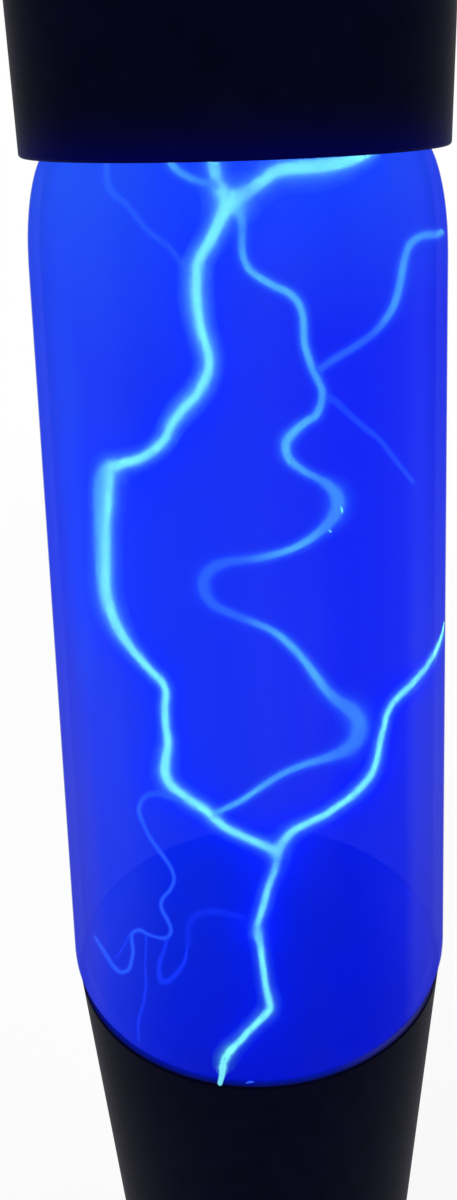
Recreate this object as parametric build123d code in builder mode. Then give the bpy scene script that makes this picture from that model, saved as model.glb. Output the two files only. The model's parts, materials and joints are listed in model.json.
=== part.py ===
from build123d import *
import os
from math import atan2, cos, degrees, pi, radians, sin, sqrt, tan

os.makedirs("parts", exist_ok=True)

# Plasma lamp: a sealed glass tube between a moulded base and a moulded cap.
# Millimetres. Z is up, the feet stand on Z = 0, and the inlet and switch face +Y.

# Main sizes
glass_radius = 40.0
glass_exposed = 172.4
cap_height = 52.0
cup_height = 80.0
foot_height = 46.0
feet_proud = 2.0
foot_radius = 47.0
cup_slope = 6.14  # degrees that the cup leans out as it rises
cap_slope = 1.76  # degrees that the cap leans out as it rises

# Clearances and overruns
bond_gap = 0.1  # filled with adhesive or pressed soft
slip_gap = 0.2  # one rigid piece dropped into another
free_gap = 0.3  # a piece that must never rub
thread_gap = 0.05  # between a screw and its pilot hole
seal_gap = 0.03  # where metal passes through glass
overrun = 1.0  # how far a cutter runs past the face that it opens

# Levels from the ground up
foot_bottom_z = feet_proud
waist_z = foot_bottom_z + foot_height
rim_z = waist_z + cup_height
cap_z = rim_z + glass_exposed

# Glass
glass_wall = 2.2
corner_radius = 7.0
rim_grip = 1.7  # how far the flat glass end lies below the rim
shoulder_width = 6.4
shoulder_height = 22.4
shoulder_shown = 20.0  # shoulder below the cap
dome_slope = 17.0  # degrees
neck_radius = 14.0
neck_length = 22.0
neck_round = 3.0
neck_blend = 2.0
tip_radius = 3.0
tip_length = 7.0
glass_bottom_z = rim_z - rim_grip
shoulder_z = cap_z - shoulder_shown
neck_end_z = glass_bottom_z - neck_length
corner_z = glass_bottom_z + corner_radius
shoulder_centre = glass_radius - shoulder_width
glass_at_rim = glass_radius - corner_radius + sqrt(corner_radius**2 - (corner_radius - rim_grip) ** 2)
glass_at_cap = shoulder_centre + shoulder_width * sqrt(1 - (shoulder_shown / shoulder_height) ** 2)


def dome_top(inset):
    """Where the dome meets its rounded shoulder, its radius and the height of its crown."""
    width = shoulder_width - inset
    height = shoulder_height - inset
    turn = atan2(height, width * tan(radians(dome_slope)))
    edge = (shoulder_centre + width * cos(turn), shoulder_z + height * sin(turn))
    radius = edge[0] / sin(radians(dome_slope))
    crown_z = edge[1] + radius * (1 - cos(radians(dome_slope)))
    return turn, edge, radius, crown_z


def glass_outline(inset):
    """Half outline of the tube, drawn in by inset, or out where it is negative."""
    turn, edge, dome_radius, crown_z = dome_top(inset)
    floor_z = glass_bottom_z + inset
    end_z = neck_end_z + inset
    neck = neck_radius - inset
    bend = neck_round - inset
    blend = neck_blend + inset
    dome_turn = radians(dome_slope) / 2
    dome_middle = (dome_radius * sin(dome_turn), crown_z - dome_radius * (1 - cos(dome_turn)))
    with BuildSketch(Plane.XZ) as half:
        with BuildLine():
            Line((0, end_z), (neck - bend, end_z))
            CenterArc((neck - bend, end_z + bend), bend, 270, 90)
            Line((neck, end_z + bend), (neck, floor_z - blend))
            CenterArc((neck + blend, floor_z - blend), blend, 90, 90)
            Line((neck + blend, floor_z), (glass_radius - corner_radius, floor_z))
            CenterArc((glass_radius - corner_radius, corner_z), corner_radius - inset, 270, 90)
            Line((glass_radius - inset, corner_z), (glass_radius - inset, shoulder_z))
            EllipticalCenterArc(
                (shoulder_centre, shoulder_z),
                shoulder_width - inset,
                shoulder_height - inset,
                start_angle=0,
                arc_size=degrees(turn),
            )
            ThreePointArc(edge, dome_middle, (0, crown_z))
            Line((0, crown_z), (0, end_z))
        make_face()
    return half.sketch


crown_z = dome_top(0)[3]

# Electrode inside the neck, its pin through the glass and the boot on the pin
electrode_radius = 8.0
electrode_height = 14.0
electrode_wall = 0.6
electrode_lift = 3.0  # above the inside of the neck's end
pin_radius = 1.0
pin_proud = 6.0
boot_radius = 5.0
boot_length = 12.0
boot_taper = 1.5  # degrees

with BuildPart() as glass_envelope:
    revolve(glass_outline(0), axis=Axis.Z)
    with BuildSketch(Plane.XY.offset(crown_z - glass_wall / 2)):
        Circle(tip_radius)
    extrude(amount=tip_length + glass_wall / 2)
    fillet(glass_envelope.faces().sort_by(Axis.Z)[-1].edges(), radius=tip_radius / 2)
    revolve(glass_outline(glass_wall), axis=Axis.Z, mode=Mode.SUBTRACT)
    with BuildSketch(Plane.XY.offset(neck_end_z - overrun)):
        Circle(pin_radius + seal_gap)
    extrude(amount=glass_wall + 2 * overrun, mode=Mode.SUBTRACT)
glass_envelope.part.label = "glass_envelope"
export_step(glass_envelope.part, "parts/glass_envelope.step")

electrode_z = neck_end_z + glass_wall + electrode_lift
with BuildPart() as electrode:
    with BuildSketch(Plane.XY.offset(electrode_z)):
        Circle(electrode_radius)
    extrude(amount=electrode_height)
    fillet(electrode.edges().group_by(Axis.Z)[0], radius=electrode_radius / 4)
    offset(
        amount=-electrode_wall,
        openings=electrode.faces().sort_by(Axis.Z)[-1],
    )
    with BuildSketch(Plane.XY.offset(neck_end_z - pin_proud)):
        Circle(pin_radius)
    extrude(amount=electrode_z + electrode_wall / 2 - neck_end_z + pin_proud)
electrode.part.label = "electrode"
export_step(electrode.part, "parts/electrode.step")

# Cup: the upper shell of the base, which narrows from the rim to the waist
cup_wall = 2.4
lip_thickness = 0.9
rim_clearance = 0.65
rim_round = 0.4
pad_thickness = 1.5
shelf_thickness = 2.5
shelf_bore_clearance = 0.5
shelf_boss_radius = 3.2
shelf_boss_length = 7.0
shelf_boss_offset = 9.0  # from the side of the neck to the middle of a boss
rib_thickness = 1.8
rib_height = 6.0
rib_count = 6
screw_count = 3
waist_boss_radius = 3.6
waist_boss_height = 14.0
web_thickness = 2.0
edge_break = 0.4
rim_bore = glass_at_rim + rim_clearance
rim_radius = rim_bore + lip_thickness
waist_radius = rim_radius - cup_height * tan(radians(cup_slope))
waist_bore = waist_radius - cup_wall
shelf_top_z = glass_bottom_z - pad_thickness
shelf_z = shelf_top_z - shelf_thickness
waist_screw_circle = waist_bore - waist_boss_radius
shelf_boss_circle = neck_radius + shelf_boss_offset

# Screws
screw_radius = 1.25
head_radius = 2.6
head_height = 1.8
head_taper = 15  # degrees
small_screw_radius = 0.8
small_head_radius = 1.5
small_head_height = 0.9
collar_screw_length = 8.0
waist_screw_length = 12.0
plate_screw_length = 8.0
board_screw_length = 6.0
panel_screw_length = 5.0


def cup_outer(z):
    """Radius of the cup's outside at a height."""
    return waist_radius + (z - waist_z) * tan(radians(cup_slope))


def polar_places(circle, angles):
    """Points on a circle at angles in degrees."""
    return [(circle * cos(radians(turn)), circle * sin(radians(turn))) for turn in angles]


shelf_screw_angles = [90 + number * 360 / screw_count for number in range(screw_count)]
waist_screw_angles = [30 + number * 360 / screw_count for number in range(screw_count)]
shelf_screw_places = polar_places(shelf_boss_circle, shelf_screw_angles)
waist_screw_places = polar_places(waist_screw_circle, waist_screw_angles)

with BuildPart() as cup_space:
    with BuildSketch(Plane.XZ):
        with BuildLine():
            Polyline(
                (0, waist_z - overrun),
                (cup_outer(waist_z - overrun) - cup_wall, waist_z - overrun),
                (cup_outer(shelf_z) - cup_wall, shelf_z),
                (0, shelf_z),
                close=True,
            )
        make_face()
    revolve(axis=Axis.Z)
    with BuildSketch(Plane.XY.offset(shelf_z - shelf_boss_length)):
        with Locations(*shelf_screw_places):
            Circle(shelf_boss_radius)
    extrude(amount=shelf_boss_length + overrun, mode=Mode.SUBTRACT)
    with BuildSketch(Plane.XY.offset(shelf_z - rib_height)):
        with PolarLocations(glass_radius, rib_count, start_angle=30):
            Rectangle(2 * (glass_radius - shelf_boss_circle), rib_thickness)
    extrude(amount=rib_height + overrun, mode=Mode.SUBTRACT)
    with BuildSketch(Plane.XY.offset(waist_z)):
        with Locations(*waist_screw_places):
            Circle(waist_boss_radius)
        for turn in waist_screw_angles:
            with PolarLocations(waist_bore, 1, start_angle=turn):
                Rectangle(2 * waist_boss_radius, web_thickness)
    extrude(amount=waist_boss_height, mode=Mode.SUBTRACT)

with BuildPart() as base_cup:
    with BuildSketch(Plane.XZ):
        with BuildLine():
            Polyline(
                (0, waist_z),
                (waist_radius, waist_z),
                (rim_radius, rim_z),
                (0, rim_z),
                close=True,
            )
        make_face()
    revolve(axis=Axis.Z)
    fillet(base_cup.edges().group_by(Axis.Z)[-1], radius=rim_round)
    chamfer(base_cup.edges().group_by(Axis.Z)[0], length=edge_break)
    add(cup_space.part, mode=Mode.SUBTRACT)
    with BuildSketch(Plane.XY.offset(shelf_top_z)):
        Circle(rim_bore)
    extrude(amount=rim_z - shelf_top_z + overrun, mode=Mode.SUBTRACT)
    with BuildSketch(Plane.XY.offset(shelf_z - overrun)):
        Circle(neck_radius + shelf_bore_clearance)
    extrude(amount=shelf_thickness + 2 * overrun, mode=Mode.SUBTRACT)
    with BuildSketch(Plane.XY.offset(shelf_z - shelf_boss_length - overrun)):
        with Locations(*shelf_screw_places):
            Circle(screw_radius + thread_gap)
    extrude(amount=shelf_boss_length + overrun, mode=Mode.SUBTRACT)
    with BuildSketch(Plane.XY.offset(waist_z - overrun)):
        with Locations(*waist_screw_places):
            Circle(screw_radius + thread_gap)
    extrude(amount=waist_boss_height, mode=Mode.SUBTRACT)
base_cup.part.label = "base_cup"
export_step(base_cup.part, "parts/base_cup.step")


def bonded_ring(inner, outer, low_z, high_z):
    """A soft ring that fills the space between these radii, cut back to the glass."""
    with BuildPart() as ring:
        with BuildSketch(Plane.XY.offset(low_z)):
            Circle(outer)
            Circle(inner, mode=Mode.SUBTRACT)
        extrude(amount=high_z - low_z)
        revolve(glass_outline(-bond_gap), axis=Axis.Z, mode=Mode.SUBTRACT)
    return ring.part


# Soft pieces that carry the lower end of the glass
seal_proud = 0.3
pad_inner_clearance = 3.0
with BuildPart() as glass_pad:
    with BuildSketch(Plane.XY.offset(shelf_top_z)):
        Circle(glass_radius - corner_radius)
        Circle(neck_radius + pad_inner_clearance, mode=Mode.SUBTRACT)
    extrude(amount=pad_thickness)
glass_pad.part.label = "glass_pad"
export_step(glass_pad.part, "parts/glass_pad.step")

seal_outer = rim_bore - bond_gap
with BuildPart() as glass_seal:
    seal_inner = glass_radius - corner_radius + bond_gap
    add(bonded_ring(seal_inner, seal_outer, shelf_top_z, rim_z + seal_proud))
    add(bonded_ring(seal_inner, rim_bore + lip_thickness / 2, rim_z, rim_z + seal_proud))
glass_seal.part.label = "glass_seal"
export_step(glass_seal.part, "parts/glass_seal.step")

# Collar that clamps the neck under the shelf, with a rubber grommet between
grommet_thickness = 1.6
grommet_height = 8.0
collar_wall = 2.4
collar_height = 10.0
collar_ledge = 1.2
ear_radius = 4.0
ear_thickness = 3.0
collar_top_z = shelf_z - shelf_boss_length
collar_bore = neck_radius + bond_gap + grommet_thickness + bond_gap
with BuildPart() as neck_collar:
    with BuildSketch(Plane.XY.offset(collar_top_z - collar_height)):
        Circle(collar_bore + collar_wall)
        Circle(collar_bore, mode=Mode.SUBTRACT)
    extrude(amount=collar_height)
    with BuildSketch(Plane.XY.offset(collar_top_z - ear_thickness)):
        for turn in shelf_screw_angles:
            with PolarLocations(shelf_boss_circle / 2, 1, start_angle=turn):
                Rectangle(shelf_boss_circle, 2 * ear_radius)
        with Locations(*shelf_screw_places):
            Circle(ear_radius)
        Circle(collar_bore, mode=Mode.SUBTRACT)
        with Locations(*shelf_screw_places):
            Circle(screw_radius + slip_gap, mode=Mode.SUBTRACT)
    extrude(amount=ear_thickness)
    with BuildSketch(Plane.XY.offset(collar_top_z - collar_height)):
        Circle(collar_bore)
        Circle(collar_bore - collar_ledge, mode=Mode.SUBTRACT)
    extrude(amount=collar_ledge)
neck_collar.part.label = "neck_collar"
export_step(neck_collar.part, "parts/neck_collar.step")

with BuildPart() as neck_grommet:
    with BuildSketch(Plane.XY.offset(collar_top_z - collar_height + collar_ledge)):
        Circle(neck_radius + bond_gap + grommet_thickness)
        Circle(neck_radius + bond_gap, mode=Mode.SUBTRACT)
    extrude(amount=grommet_height)
neck_grommet.part.label = "neck_grommet"
export_step(neck_grommet.part, "parts/neck_grommet.step")


def screws(places, seat_z, length, height):
    """Pan head screws driven upward, their heads below seat_z."""
    with BuildPart() as group:
        with BuildSketch(Plane.XY.offset(seat_z)):
            with Locations(*places):
                Circle(screw_radius)
        extrude(amount=length)
        with BuildSketch(Plane.XY.offset(seat_z)):
            with Locations(*places):
                Circle(head_radius)
        extrude(amount=-height, taper=head_taper)
    return group.part


with BuildPart() as collar_screws:
    collar_seat_z = collar_top_z - ear_thickness
    add(screws(shelf_screw_places, collar_seat_z, collar_screw_length, head_height))
collar_screws.part.label = "collar_screws"
export_step(collar_screws.part, "parts/collar_screws.step")

# Foot: the lower shell of the base, which flares from the waist to the ground
foot_wall = 2.4
foot_edge = 5.0
foot_bow = 2.0
foot_round = 1.0
flange_thickness = 3.0
passage_radius = 18.0
spigot_height = 4.0
spigot_wall = 2.0
plate_thickness = 2.5
plate_gap = 0.3
plate_boss_radius = 3.4
plate_boss_height = 10.0
plate_boss_edge = 1.2  # between a boss and the foot's wall
plate_screw_angles = (30, 150, 210, 330)
plate_top_z = foot_bottom_z + plate_thickness
plate_screw_circle = foot_radius - foot_wall - plate_boss_edge - plate_boss_radius
plate_screw_places = polar_places(plate_screw_circle, plate_screw_angles)
spigot_radius = waist_bore - slip_gap

# Recess in the back of the foot for the inlet and the switch
panel_share = 0.7128  # of the foot's radius, from the axis to the panel
panel_thickness = 2.0
recess_width = 33.0
recess_height = 13.0
recess_wall = 2.0
recess_floor_gap = 1.0  # between the bottom plate and the recess
recess_bottom_z = plate_top_z + recess_floor_gap + recess_wall
recess_middle_z = recess_bottom_z + recess_height / 2
panel_y = panel_share * foot_radius
panel_back_y = panel_y - panel_thickness

# Inlet
jack_x = -8.8
jack_radius = 4.0
jack_bore = 2.8
jack_depth = 9.5
jack_proud = 3.0
jack_back_wall = 2.0
jack_flange_radius = 5.0
jack_flange_thickness = 1.5
jack_pin_radius = 1.05
jack_pin_recess = 1.0
jack_root_radius = 0.8  # of the pin behind the bore's floor
jack_tail = 3.5
jack_tag_width = 2.2
jack_tag_thickness = 0.5
jack_tag_offset = 2.6
nut_across_flats = 10.0
nut_thickness = 2.0

# Slide switch: three places along X, with the middle one as built
switch_x = 7.0
switch_travel = 2.0
knob_width = 3.6
knob_height = 3.0
knob_proud = 2.0
slider_width = 5.0
slider_height = 4.6
slider_thickness = 1.8
can_wall = 0.5
can_depth = 6.0
flange_width = 16.4
switch_screw_spread = 6.2
switch_base_thickness = 1.2
pin_pitch = 2.5
pin_count = 4
switch_pin_width = 0.8
switch_pin_length = 3.0
switch_pin_thickness = 0.4
can_width = slider_width + 2 * (switch_travel + slip_gap + can_wall)
can_height = slider_height + 2 * (slip_gap + can_wall)
slot_width = knob_width + 2 * (switch_travel + free_gap)
slot_height = knob_height + 2 * free_gap
window_width = knob_width + 2 * (switch_travel + slip_gap)
window_height = knob_height + 2 * slip_gap


def foot_curve(inset):
    """The flare between the waist and the foot's upright edge."""
    SagittaArc(
        (waist_radius - inset, waist_z),
        (foot_radius - inset, foot_bottom_z + foot_edge),
        -foot_bow,
    )


with BuildPart() as foot_space:
    with BuildSketch(Plane.XZ):
        with BuildLine():
            foot_curve(foot_wall)
            Polyline(
                (foot_radius - foot_wall, foot_bottom_z + foot_edge),
                (foot_radius - foot_wall, foot_bottom_z - overrun),
                (0, foot_bottom_z - overrun),
                (0, waist_z),
                (waist_radius - foot_wall, waist_z),
            )
        make_face()
    revolve(axis=Axis.Z)
    with BuildSketch(Plane.XY.offset(waist_z - flange_thickness)):
        Circle(foot_radius)
    extrude(amount=flange_thickness + overrun, mode=Mode.SUBTRACT)
    with BuildSketch(Plane.XY.offset(plate_top_z)):
        with Locations(*plate_screw_places):
            Circle(plate_boss_radius)
        for turn in plate_screw_angles:
            with PolarLocations(foot_radius, 1, start_angle=turn):
                Rectangle(2 * (foot_radius - plate_screw_circle), web_thickness)
    extrude(amount=plate_boss_height, mode=Mode.SUBTRACT)
    with BuildSketch(Plane.XZ.offset(-foot_radius)):
        with Locations((0, recess_middle_z)):
            Rectangle(recess_width + 2 * recess_wall, recess_height + 2 * recess_wall)
    extrude(amount=foot_radius - panel_back_y, mode=Mode.SUBTRACT)

with BuildPart() as base_foot:
    with BuildSketch(Plane.XZ):
        with BuildLine():
            foot_curve(0)
            Polyline(
                (foot_radius, foot_bottom_z + foot_edge),
                (foot_radius, foot_bottom_z),
                (0, foot_bottom_z),
                (0, waist_z),
                (waist_radius, waist_z),
            )
        make_face()
    revolve(axis=Axis.Z)
    fillet(base_foot.edges().group_by(Axis.Z)[0], radius=foot_round)
    chamfer(base_foot.edges().group_by(Axis.Z)[-1], length=edge_break)
    with BuildSketch(Plane.XY.offset(waist_z)):
        Circle(spigot_radius)
        with Locations(*waist_screw_places):
            Circle(waist_boss_radius + free_gap, mode=Mode.SUBTRACT)
        for turn in waist_screw_angles:
            with PolarLocations(waist_bore, 1, start_angle=turn):
                Rectangle(2 * waist_boss_radius, web_thickness + 2 * free_gap, mode=Mode.SUBTRACT)
    extrude(amount=spigot_height)
    add(foot_space.part, mode=Mode.SUBTRACT)
    with BuildSketch(Plane.XY.offset(waist_z)):
        Circle(spigot_radius - spigot_wall)
    extrude(amount=spigot_height + overrun, mode=Mode.SUBTRACT)
    with BuildSketch(Plane.XY.offset(waist_z - flange_thickness - overrun)):
        Circle(passage_radius)
        with Locations(*waist_screw_places):
            Circle(screw_radius + slip_gap)
    extrude(amount=flange_thickness + 2 * overrun, mode=Mode.SUBTRACT)
    with BuildSketch(Plane.XY.offset(plate_top_z - overrun)):
        with Locations(*plate_screw_places):
            Circle(screw_radius + thread_gap)
    extrude(amount=plate_screw_length + overrun, mode=Mode.SUBTRACT)
    with BuildSketch(Plane.XZ.offset(-foot_radius - overrun)):
        with Locations((0, recess_middle_z)):
            RectangleRounded(recess_width, recess_height, radius=recess_wall / 2)
    extrude(amount=foot_radius + overrun - panel_y, mode=Mode.SUBTRACT)
    with BuildSketch(Plane.XZ.offset(-panel_y - overrun)):
        with Locations((jack_x, recess_middle_z)):
            Circle(jack_radius + bond_gap)
        with Locations((switch_x, recess_middle_z)):
            Rectangle(slot_width, slot_height)
        with Locations(
            (switch_x - switch_screw_spread, recess_middle_z),
            (switch_x + switch_screw_spread, recess_middle_z),
        ):
            Circle(small_screw_radius + bond_gap)
    extrude(amount=panel_thickness + 2 * overrun, mode=Mode.SUBTRACT)
base_foot.part.label = "base_foot"
export_step(base_foot.part, "parts/base_foot.step")

with BuildPart() as waist_screws:
    waist_seat_z = waist_z - flange_thickness
    add(screws(waist_screw_places, waist_seat_z, waist_screw_length, head_height))
waist_screws.part.label = "waist_screws"
export_step(waist_screws.part, "parts/waist_screws.step")

# Circuit board and the plate that carries it
board_side_share = 0.553  # of the foot's radius, from the axis to each side edge
board_front_share = 0.617  # of the foot's radius, from the axis to the front edge
terminal_room = 18.5  # from the panel to the board's back edge
board_thickness = 1.6
board_round = 2.0
board_lift = 6.0
board_post_radius = 3.0
board_edge = 4.0  # from a post's middle to the board's edge
vent_width = 2.0
vent_length = 14.0
vent_pitch = 5.0
vent_count = 5
feet_edge = 3.3  # between a rubber foot and the plate's rim
feet_radius = 5.0
feet_recess = 0.5
feet_count = 4
head_clearance = 0.4
board_z = plate_top_z + board_lift
board_top_z = board_z + board_thickness
board_width = 2 * board_side_share * foot_radius
board_front_y = -board_front_share * foot_radius
board_back_y = panel_y - terminal_room
board_length = board_back_y - board_front_y
board_y = (board_back_y + board_front_y) / 2
post_places = [
    (side * (board_width / 2 - board_edge), board_y + end * (board_length / 2 - board_edge))
    for side in (-1, 1)
    for end in (-1, 1)
]
plate_radius = foot_radius - foot_wall - plate_gap
feet_circle = plate_radius - feet_edge - feet_radius

with BuildPart() as bottom_plate:
    with BuildSketch(Plane.XY.offset(foot_bottom_z)):
        Circle(plate_radius)
    extrude(amount=plate_thickness)
    with BuildSketch(Plane.XY.offset(plate_top_z)):
        with Locations(*post_places):
            Circle(board_post_radius)
    extrude(amount=board_lift)
    with BuildSketch(Plane.XY.offset(foot_bottom_z - overrun)):
        with Locations(*plate_screw_places):
            Circle(screw_radius + slip_gap)
        with GridLocations(vent_pitch, vent_pitch, vent_count, 1):
            SlotOverall(vent_length, vent_width, rotation=90)
    extrude(amount=plate_thickness + 2 * overrun, mode=Mode.SUBTRACT)
    with BuildSketch(Plane.XY.offset(foot_bottom_z)):
        with Locations(*plate_screw_places):
            Circle(head_radius + head_clearance)
    extrude(amount=plate_thickness / 2, mode=Mode.SUBTRACT)
    with BuildSketch(Plane.XY.offset(foot_bottom_z)):
        with PolarLocations(feet_circle, feet_count):
            Circle(feet_radius + slip_gap)
    extrude(amount=feet_recess, mode=Mode.SUBTRACT)
    with BuildSketch(Plane.XY.offset(board_z - board_lift)):
        with Locations(*post_places):
            Circle(screw_radius + thread_gap)
    extrude(amount=board_lift + overrun, mode=Mode.SUBTRACT)
bottom_plate.part.label = "bottom_plate"
export_step(bottom_plate.part, "parts/bottom_plate.step")

with BuildPart() as plate_screws:
    plate_seat_z = foot_bottom_z + plate_thickness / 2
    plate_head_height = plate_thickness / 2
    add(screws(plate_screw_places, plate_seat_z, plate_screw_length, plate_head_height))
plate_screws.part.label = "plate_screws"
export_step(plate_screws.part, "parts/plate_screws.step")

with BuildPart() as rubber_feet:
    with BuildSketch():
        with PolarLocations(feet_circle, feet_count):
            Circle(feet_radius)
    extrude(amount=feet_proud + feet_recess)
    chamfer(rubber_feet.edges().group_by(Axis.Z)[0], length=edge_break)
rubber_feet.part.label = "rubber_feet"
export_step(rubber_feet.part, "parts/rubber_feet.step")

with BuildPart() as circuit_board:
    with BuildSketch(Plane.XY.offset(board_z)):
        with Locations((0, board_y)):
            RectangleRounded(board_width, board_length, radius=board_round)
        with Locations(*post_places):
            Circle(screw_radius + slip_gap, mode=Mode.SUBTRACT)
    extrude(amount=board_thickness)
circuit_board.part.label = "circuit_board"
export_step(circuit_board.part, "parts/circuit_board.step")

with BuildPart() as board_screws:
    with BuildSketch(Plane.XY.offset(board_top_z)):
        with Locations(*post_places):
            Circle(screw_radius)
    extrude(amount=-board_screw_length)
    with BuildSketch(Plane.XY.offset(board_top_z)):
        with Locations(*post_places):
            Circle(head_radius)
    extrude(amount=head_height, taper=head_taper)
board_screws.part.label = "board_screws"
export_step(board_screws.part, "parts/board_screws.step")

# Step-up transformer: a closed ferrite frame with a coil on each leg
core_leg = 6.0
core_spacing = 16.0
core_height = 36.0
core_shift = -1.5
secondary_radius = 8.7
secondary_height = 22.0
secondary_bore_gap = 0.2
secondary_round = 1.2
primary_radius = 5.4
primary_height = 16.0
primary_bore_gap = 0.2
cheek_thickness = 1.2
cheek_proud = 0.8
core_middle_z = board_top_z + core_height / 2
primary_x = core_shift - core_spacing / 2
secondary_x = core_shift + core_spacing / 2

with BuildPart() as transformer_core:
    with BuildSketch(Plane.XZ.offset(-core_leg / 2)):
        with Locations((core_shift, core_middle_z)):
            Rectangle(core_spacing + core_leg, core_height)
            Rectangle(core_spacing - core_leg, core_height - 2 * core_leg, mode=Mode.SUBTRACT)
    extrude(amount=core_leg)
    chamfer(transformer_core.edges().filter_by(Axis.Y), length=edge_break)
transformer_core.part.label = "transformer_core"
export_step(transformer_core.part, "parts/transformer_core.step")

with BuildPart() as high_voltage_coil:
    with BuildSketch(Plane.XY.offset(core_middle_z - secondary_height / 2)):
        with Locations((secondary_x, 0)):
            Circle(secondary_radius)
    extrude(amount=secondary_height)
    fillet(high_voltage_coil.edges().filter_by(GeomType.CIRCLE), radius=secondary_round)
    with BuildSketch(Plane.XY.offset(core_middle_z - secondary_height / 2 - overrun)):
        with Locations((secondary_x, 0)):
            Rectangle(core_leg + 2 * secondary_bore_gap, core_leg + 2 * secondary_bore_gap)
    extrude(amount=secondary_height + 2 * overrun, mode=Mode.SUBTRACT)
high_voltage_coil.part.label = "high_voltage_coil"
export_step(high_voltage_coil.part, "parts/high_voltage_coil.step")

with BuildPart() as primary_coil:
    with BuildSketch(Plane.XY.offset(core_middle_z - primary_height / 2)):
        with Locations((primary_x, 0)):
            Circle(primary_radius - cheek_proud)
    extrude(amount=primary_height)
    for cheek_z in (core_middle_z - primary_height / 2, core_middle_z + primary_height / 2 - cheek_thickness):
        with BuildSketch(Plane.XY.offset(cheek_z)):
            with Locations((primary_x, 0)):
                Circle(primary_radius)
        extrude(amount=cheek_thickness)
    with BuildSketch(Plane.XY.offset(core_middle_z - primary_height / 2 - overrun)):
        with Locations((primary_x, 0)):
            Rectangle(core_leg + 2 * primary_bore_gap, core_leg + 2 * primary_bore_gap)
    extrude(amount=primary_height + 2 * overrun, mode=Mode.SUBTRACT)
primary_coil.part.label = "primary_coil"
export_step(primary_coil.part, "parts/primary_coil.step")

# Power transistor on its finned heat sink
sink_width = 26.0
sink_height = 20.0
sink_plate = 2.0
fin_length = 4.0
fin_thickness = 1.2
fin_count = 6
sink_setback = 9.0  # from the board's front edge to the face that carries the transistor
tab_width = 10.0
tab_thickness = 1.3
tab_height = 15.0
tab_hole_drop = 3.0
case_height = 9.0
case_thickness = 4.4
leg_width = 0.8
leg_spacing = 2.54
leg_height = 5.0
leg_count = 3
tab_screw_length = 5.0
sink_y = board_front_y + sink_setback
fin_pitch = (sink_width - fin_thickness) / (fin_count - 1)
tab_middle_z = board_top_z + leg_height + tab_height / 2
tab_hole_z = board_top_z + leg_height + tab_height - tab_hole_drop

with BuildPart() as heat_sink:
    with BuildSketch(Plane.XY.offset(board_top_z)):
        with Locations((0, sink_y - sink_plate / 2)):
            Rectangle(sink_width, sink_plate)
        with Locations((0, sink_y - sink_plate - fin_length / 2)):
            with GridLocations(fin_pitch, fin_pitch, fin_count, 1):
                Rectangle(fin_thickness, fin_length)
    extrude(amount=sink_height)
    with BuildSketch(Plane.XZ.offset(-sink_y - overrun)):
        with Locations((0, tab_hole_z)):
            Circle(screw_radius + slip_gap)
    extrude(amount=sink_plate + 2 * overrun, mode=Mode.SUBTRACT)
heat_sink.part.label = "heat_sink"
export_step(heat_sink.part, "parts/heat_sink.step")

with BuildPart() as power_transistor:
    with BuildSketch(Plane.XZ.offset(-sink_y)):
        with Locations((0, tab_middle_z)):
            Rectangle(tab_width, tab_height)
    extrude(amount=-tab_thickness)
    with BuildSketch(Plane.XZ.offset(-sink_y)):
        with Locations((0, board_top_z + leg_height + case_height / 2)):
            Rectangle(tab_width, case_height)
    extrude(amount=-case_thickness)
    with BuildSketch(Plane.XZ.offset(-sink_y - case_thickness / 2)):
        with Locations((0, board_top_z + (leg_height + leg_width) / 2)):
            with GridLocations(leg_spacing, leg_spacing, leg_count, 1):
                Rectangle(leg_width, leg_height + leg_width)
    extrude(amount=leg_width, both=True)
    with BuildSketch(Plane.XZ.offset(-sink_y - tab_thickness - overrun)):
        with Locations((0, tab_hole_z)):
            Circle(screw_radius + slip_gap)
    extrude(amount=tab_thickness + 2 * overrun, mode=Mode.SUBTRACT)
power_transistor.part.label = "power_transistor"
export_step(power_transistor.part, "parts/power_transistor.step")

with BuildPart() as transistor_screw:
    with BuildSketch(Plane.XZ.offset(-sink_y - tab_thickness)):
        with Locations((0, tab_hole_z)):
            Circle(screw_radius)
    extrude(amount=tab_screw_length)
    with BuildSketch(Plane.XZ.offset(-sink_y - tab_thickness)):
        with Locations((0, tab_hole_z)):
            Circle(head_radius)
    extrude(amount=-head_height)
transistor_screw.part.label = "transistor_screw"
export_step(transistor_screw.part, "parts/transistor_screw.step")

# Smaller parts on the board
part_gap = 0.4  # between parts that stand side by side
can_cap_radius = 3.15
can_cap_height = 12.0
can_cap_round = 0.8
can_cap_count = 2
film_length = 9.0
film_width = 5.0
film_height = 9.0
film_edge = 2.5  # from its side to the board's edge
chip_length = 9.6
chip_width = 6.4
chip_height = 3.4
chip_leg = 1.0
chip_leg_pitch = 2.54
chip_leg_count = 4  # on each side
chip_edge = 1.0  # from its side to the board's edge
microphone_radius = 3.0
microphone_height = 4.0
microphone_mouth = 1.0
back_limit_y = board_back_y - board_edge - head_radius - part_gap
front_limit_y = board_front_y + board_edge + head_radius + part_gap
can_cap_x = secondary_x + secondary_radius + part_gap + can_cap_radius
can_cap_pitch = 2 * can_cap_radius + part_gap
can_cap_places = [
    (can_cap_x, back_limit_y - can_cap_radius - number * can_cap_pitch) for number in range(can_cap_count)
]
film_x = film_edge + film_width / 2 - board_width / 2
film_y = back_limit_y - film_length / 2
chip_x = chip_edge + chip_leg + chip_width / 2 - board_width / 2
chip_y = front_limit_y + chip_length / 2
microphone_x = board_width / 2 - board_edge
microphone_y = front_limit_y + microphone_radius

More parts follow.
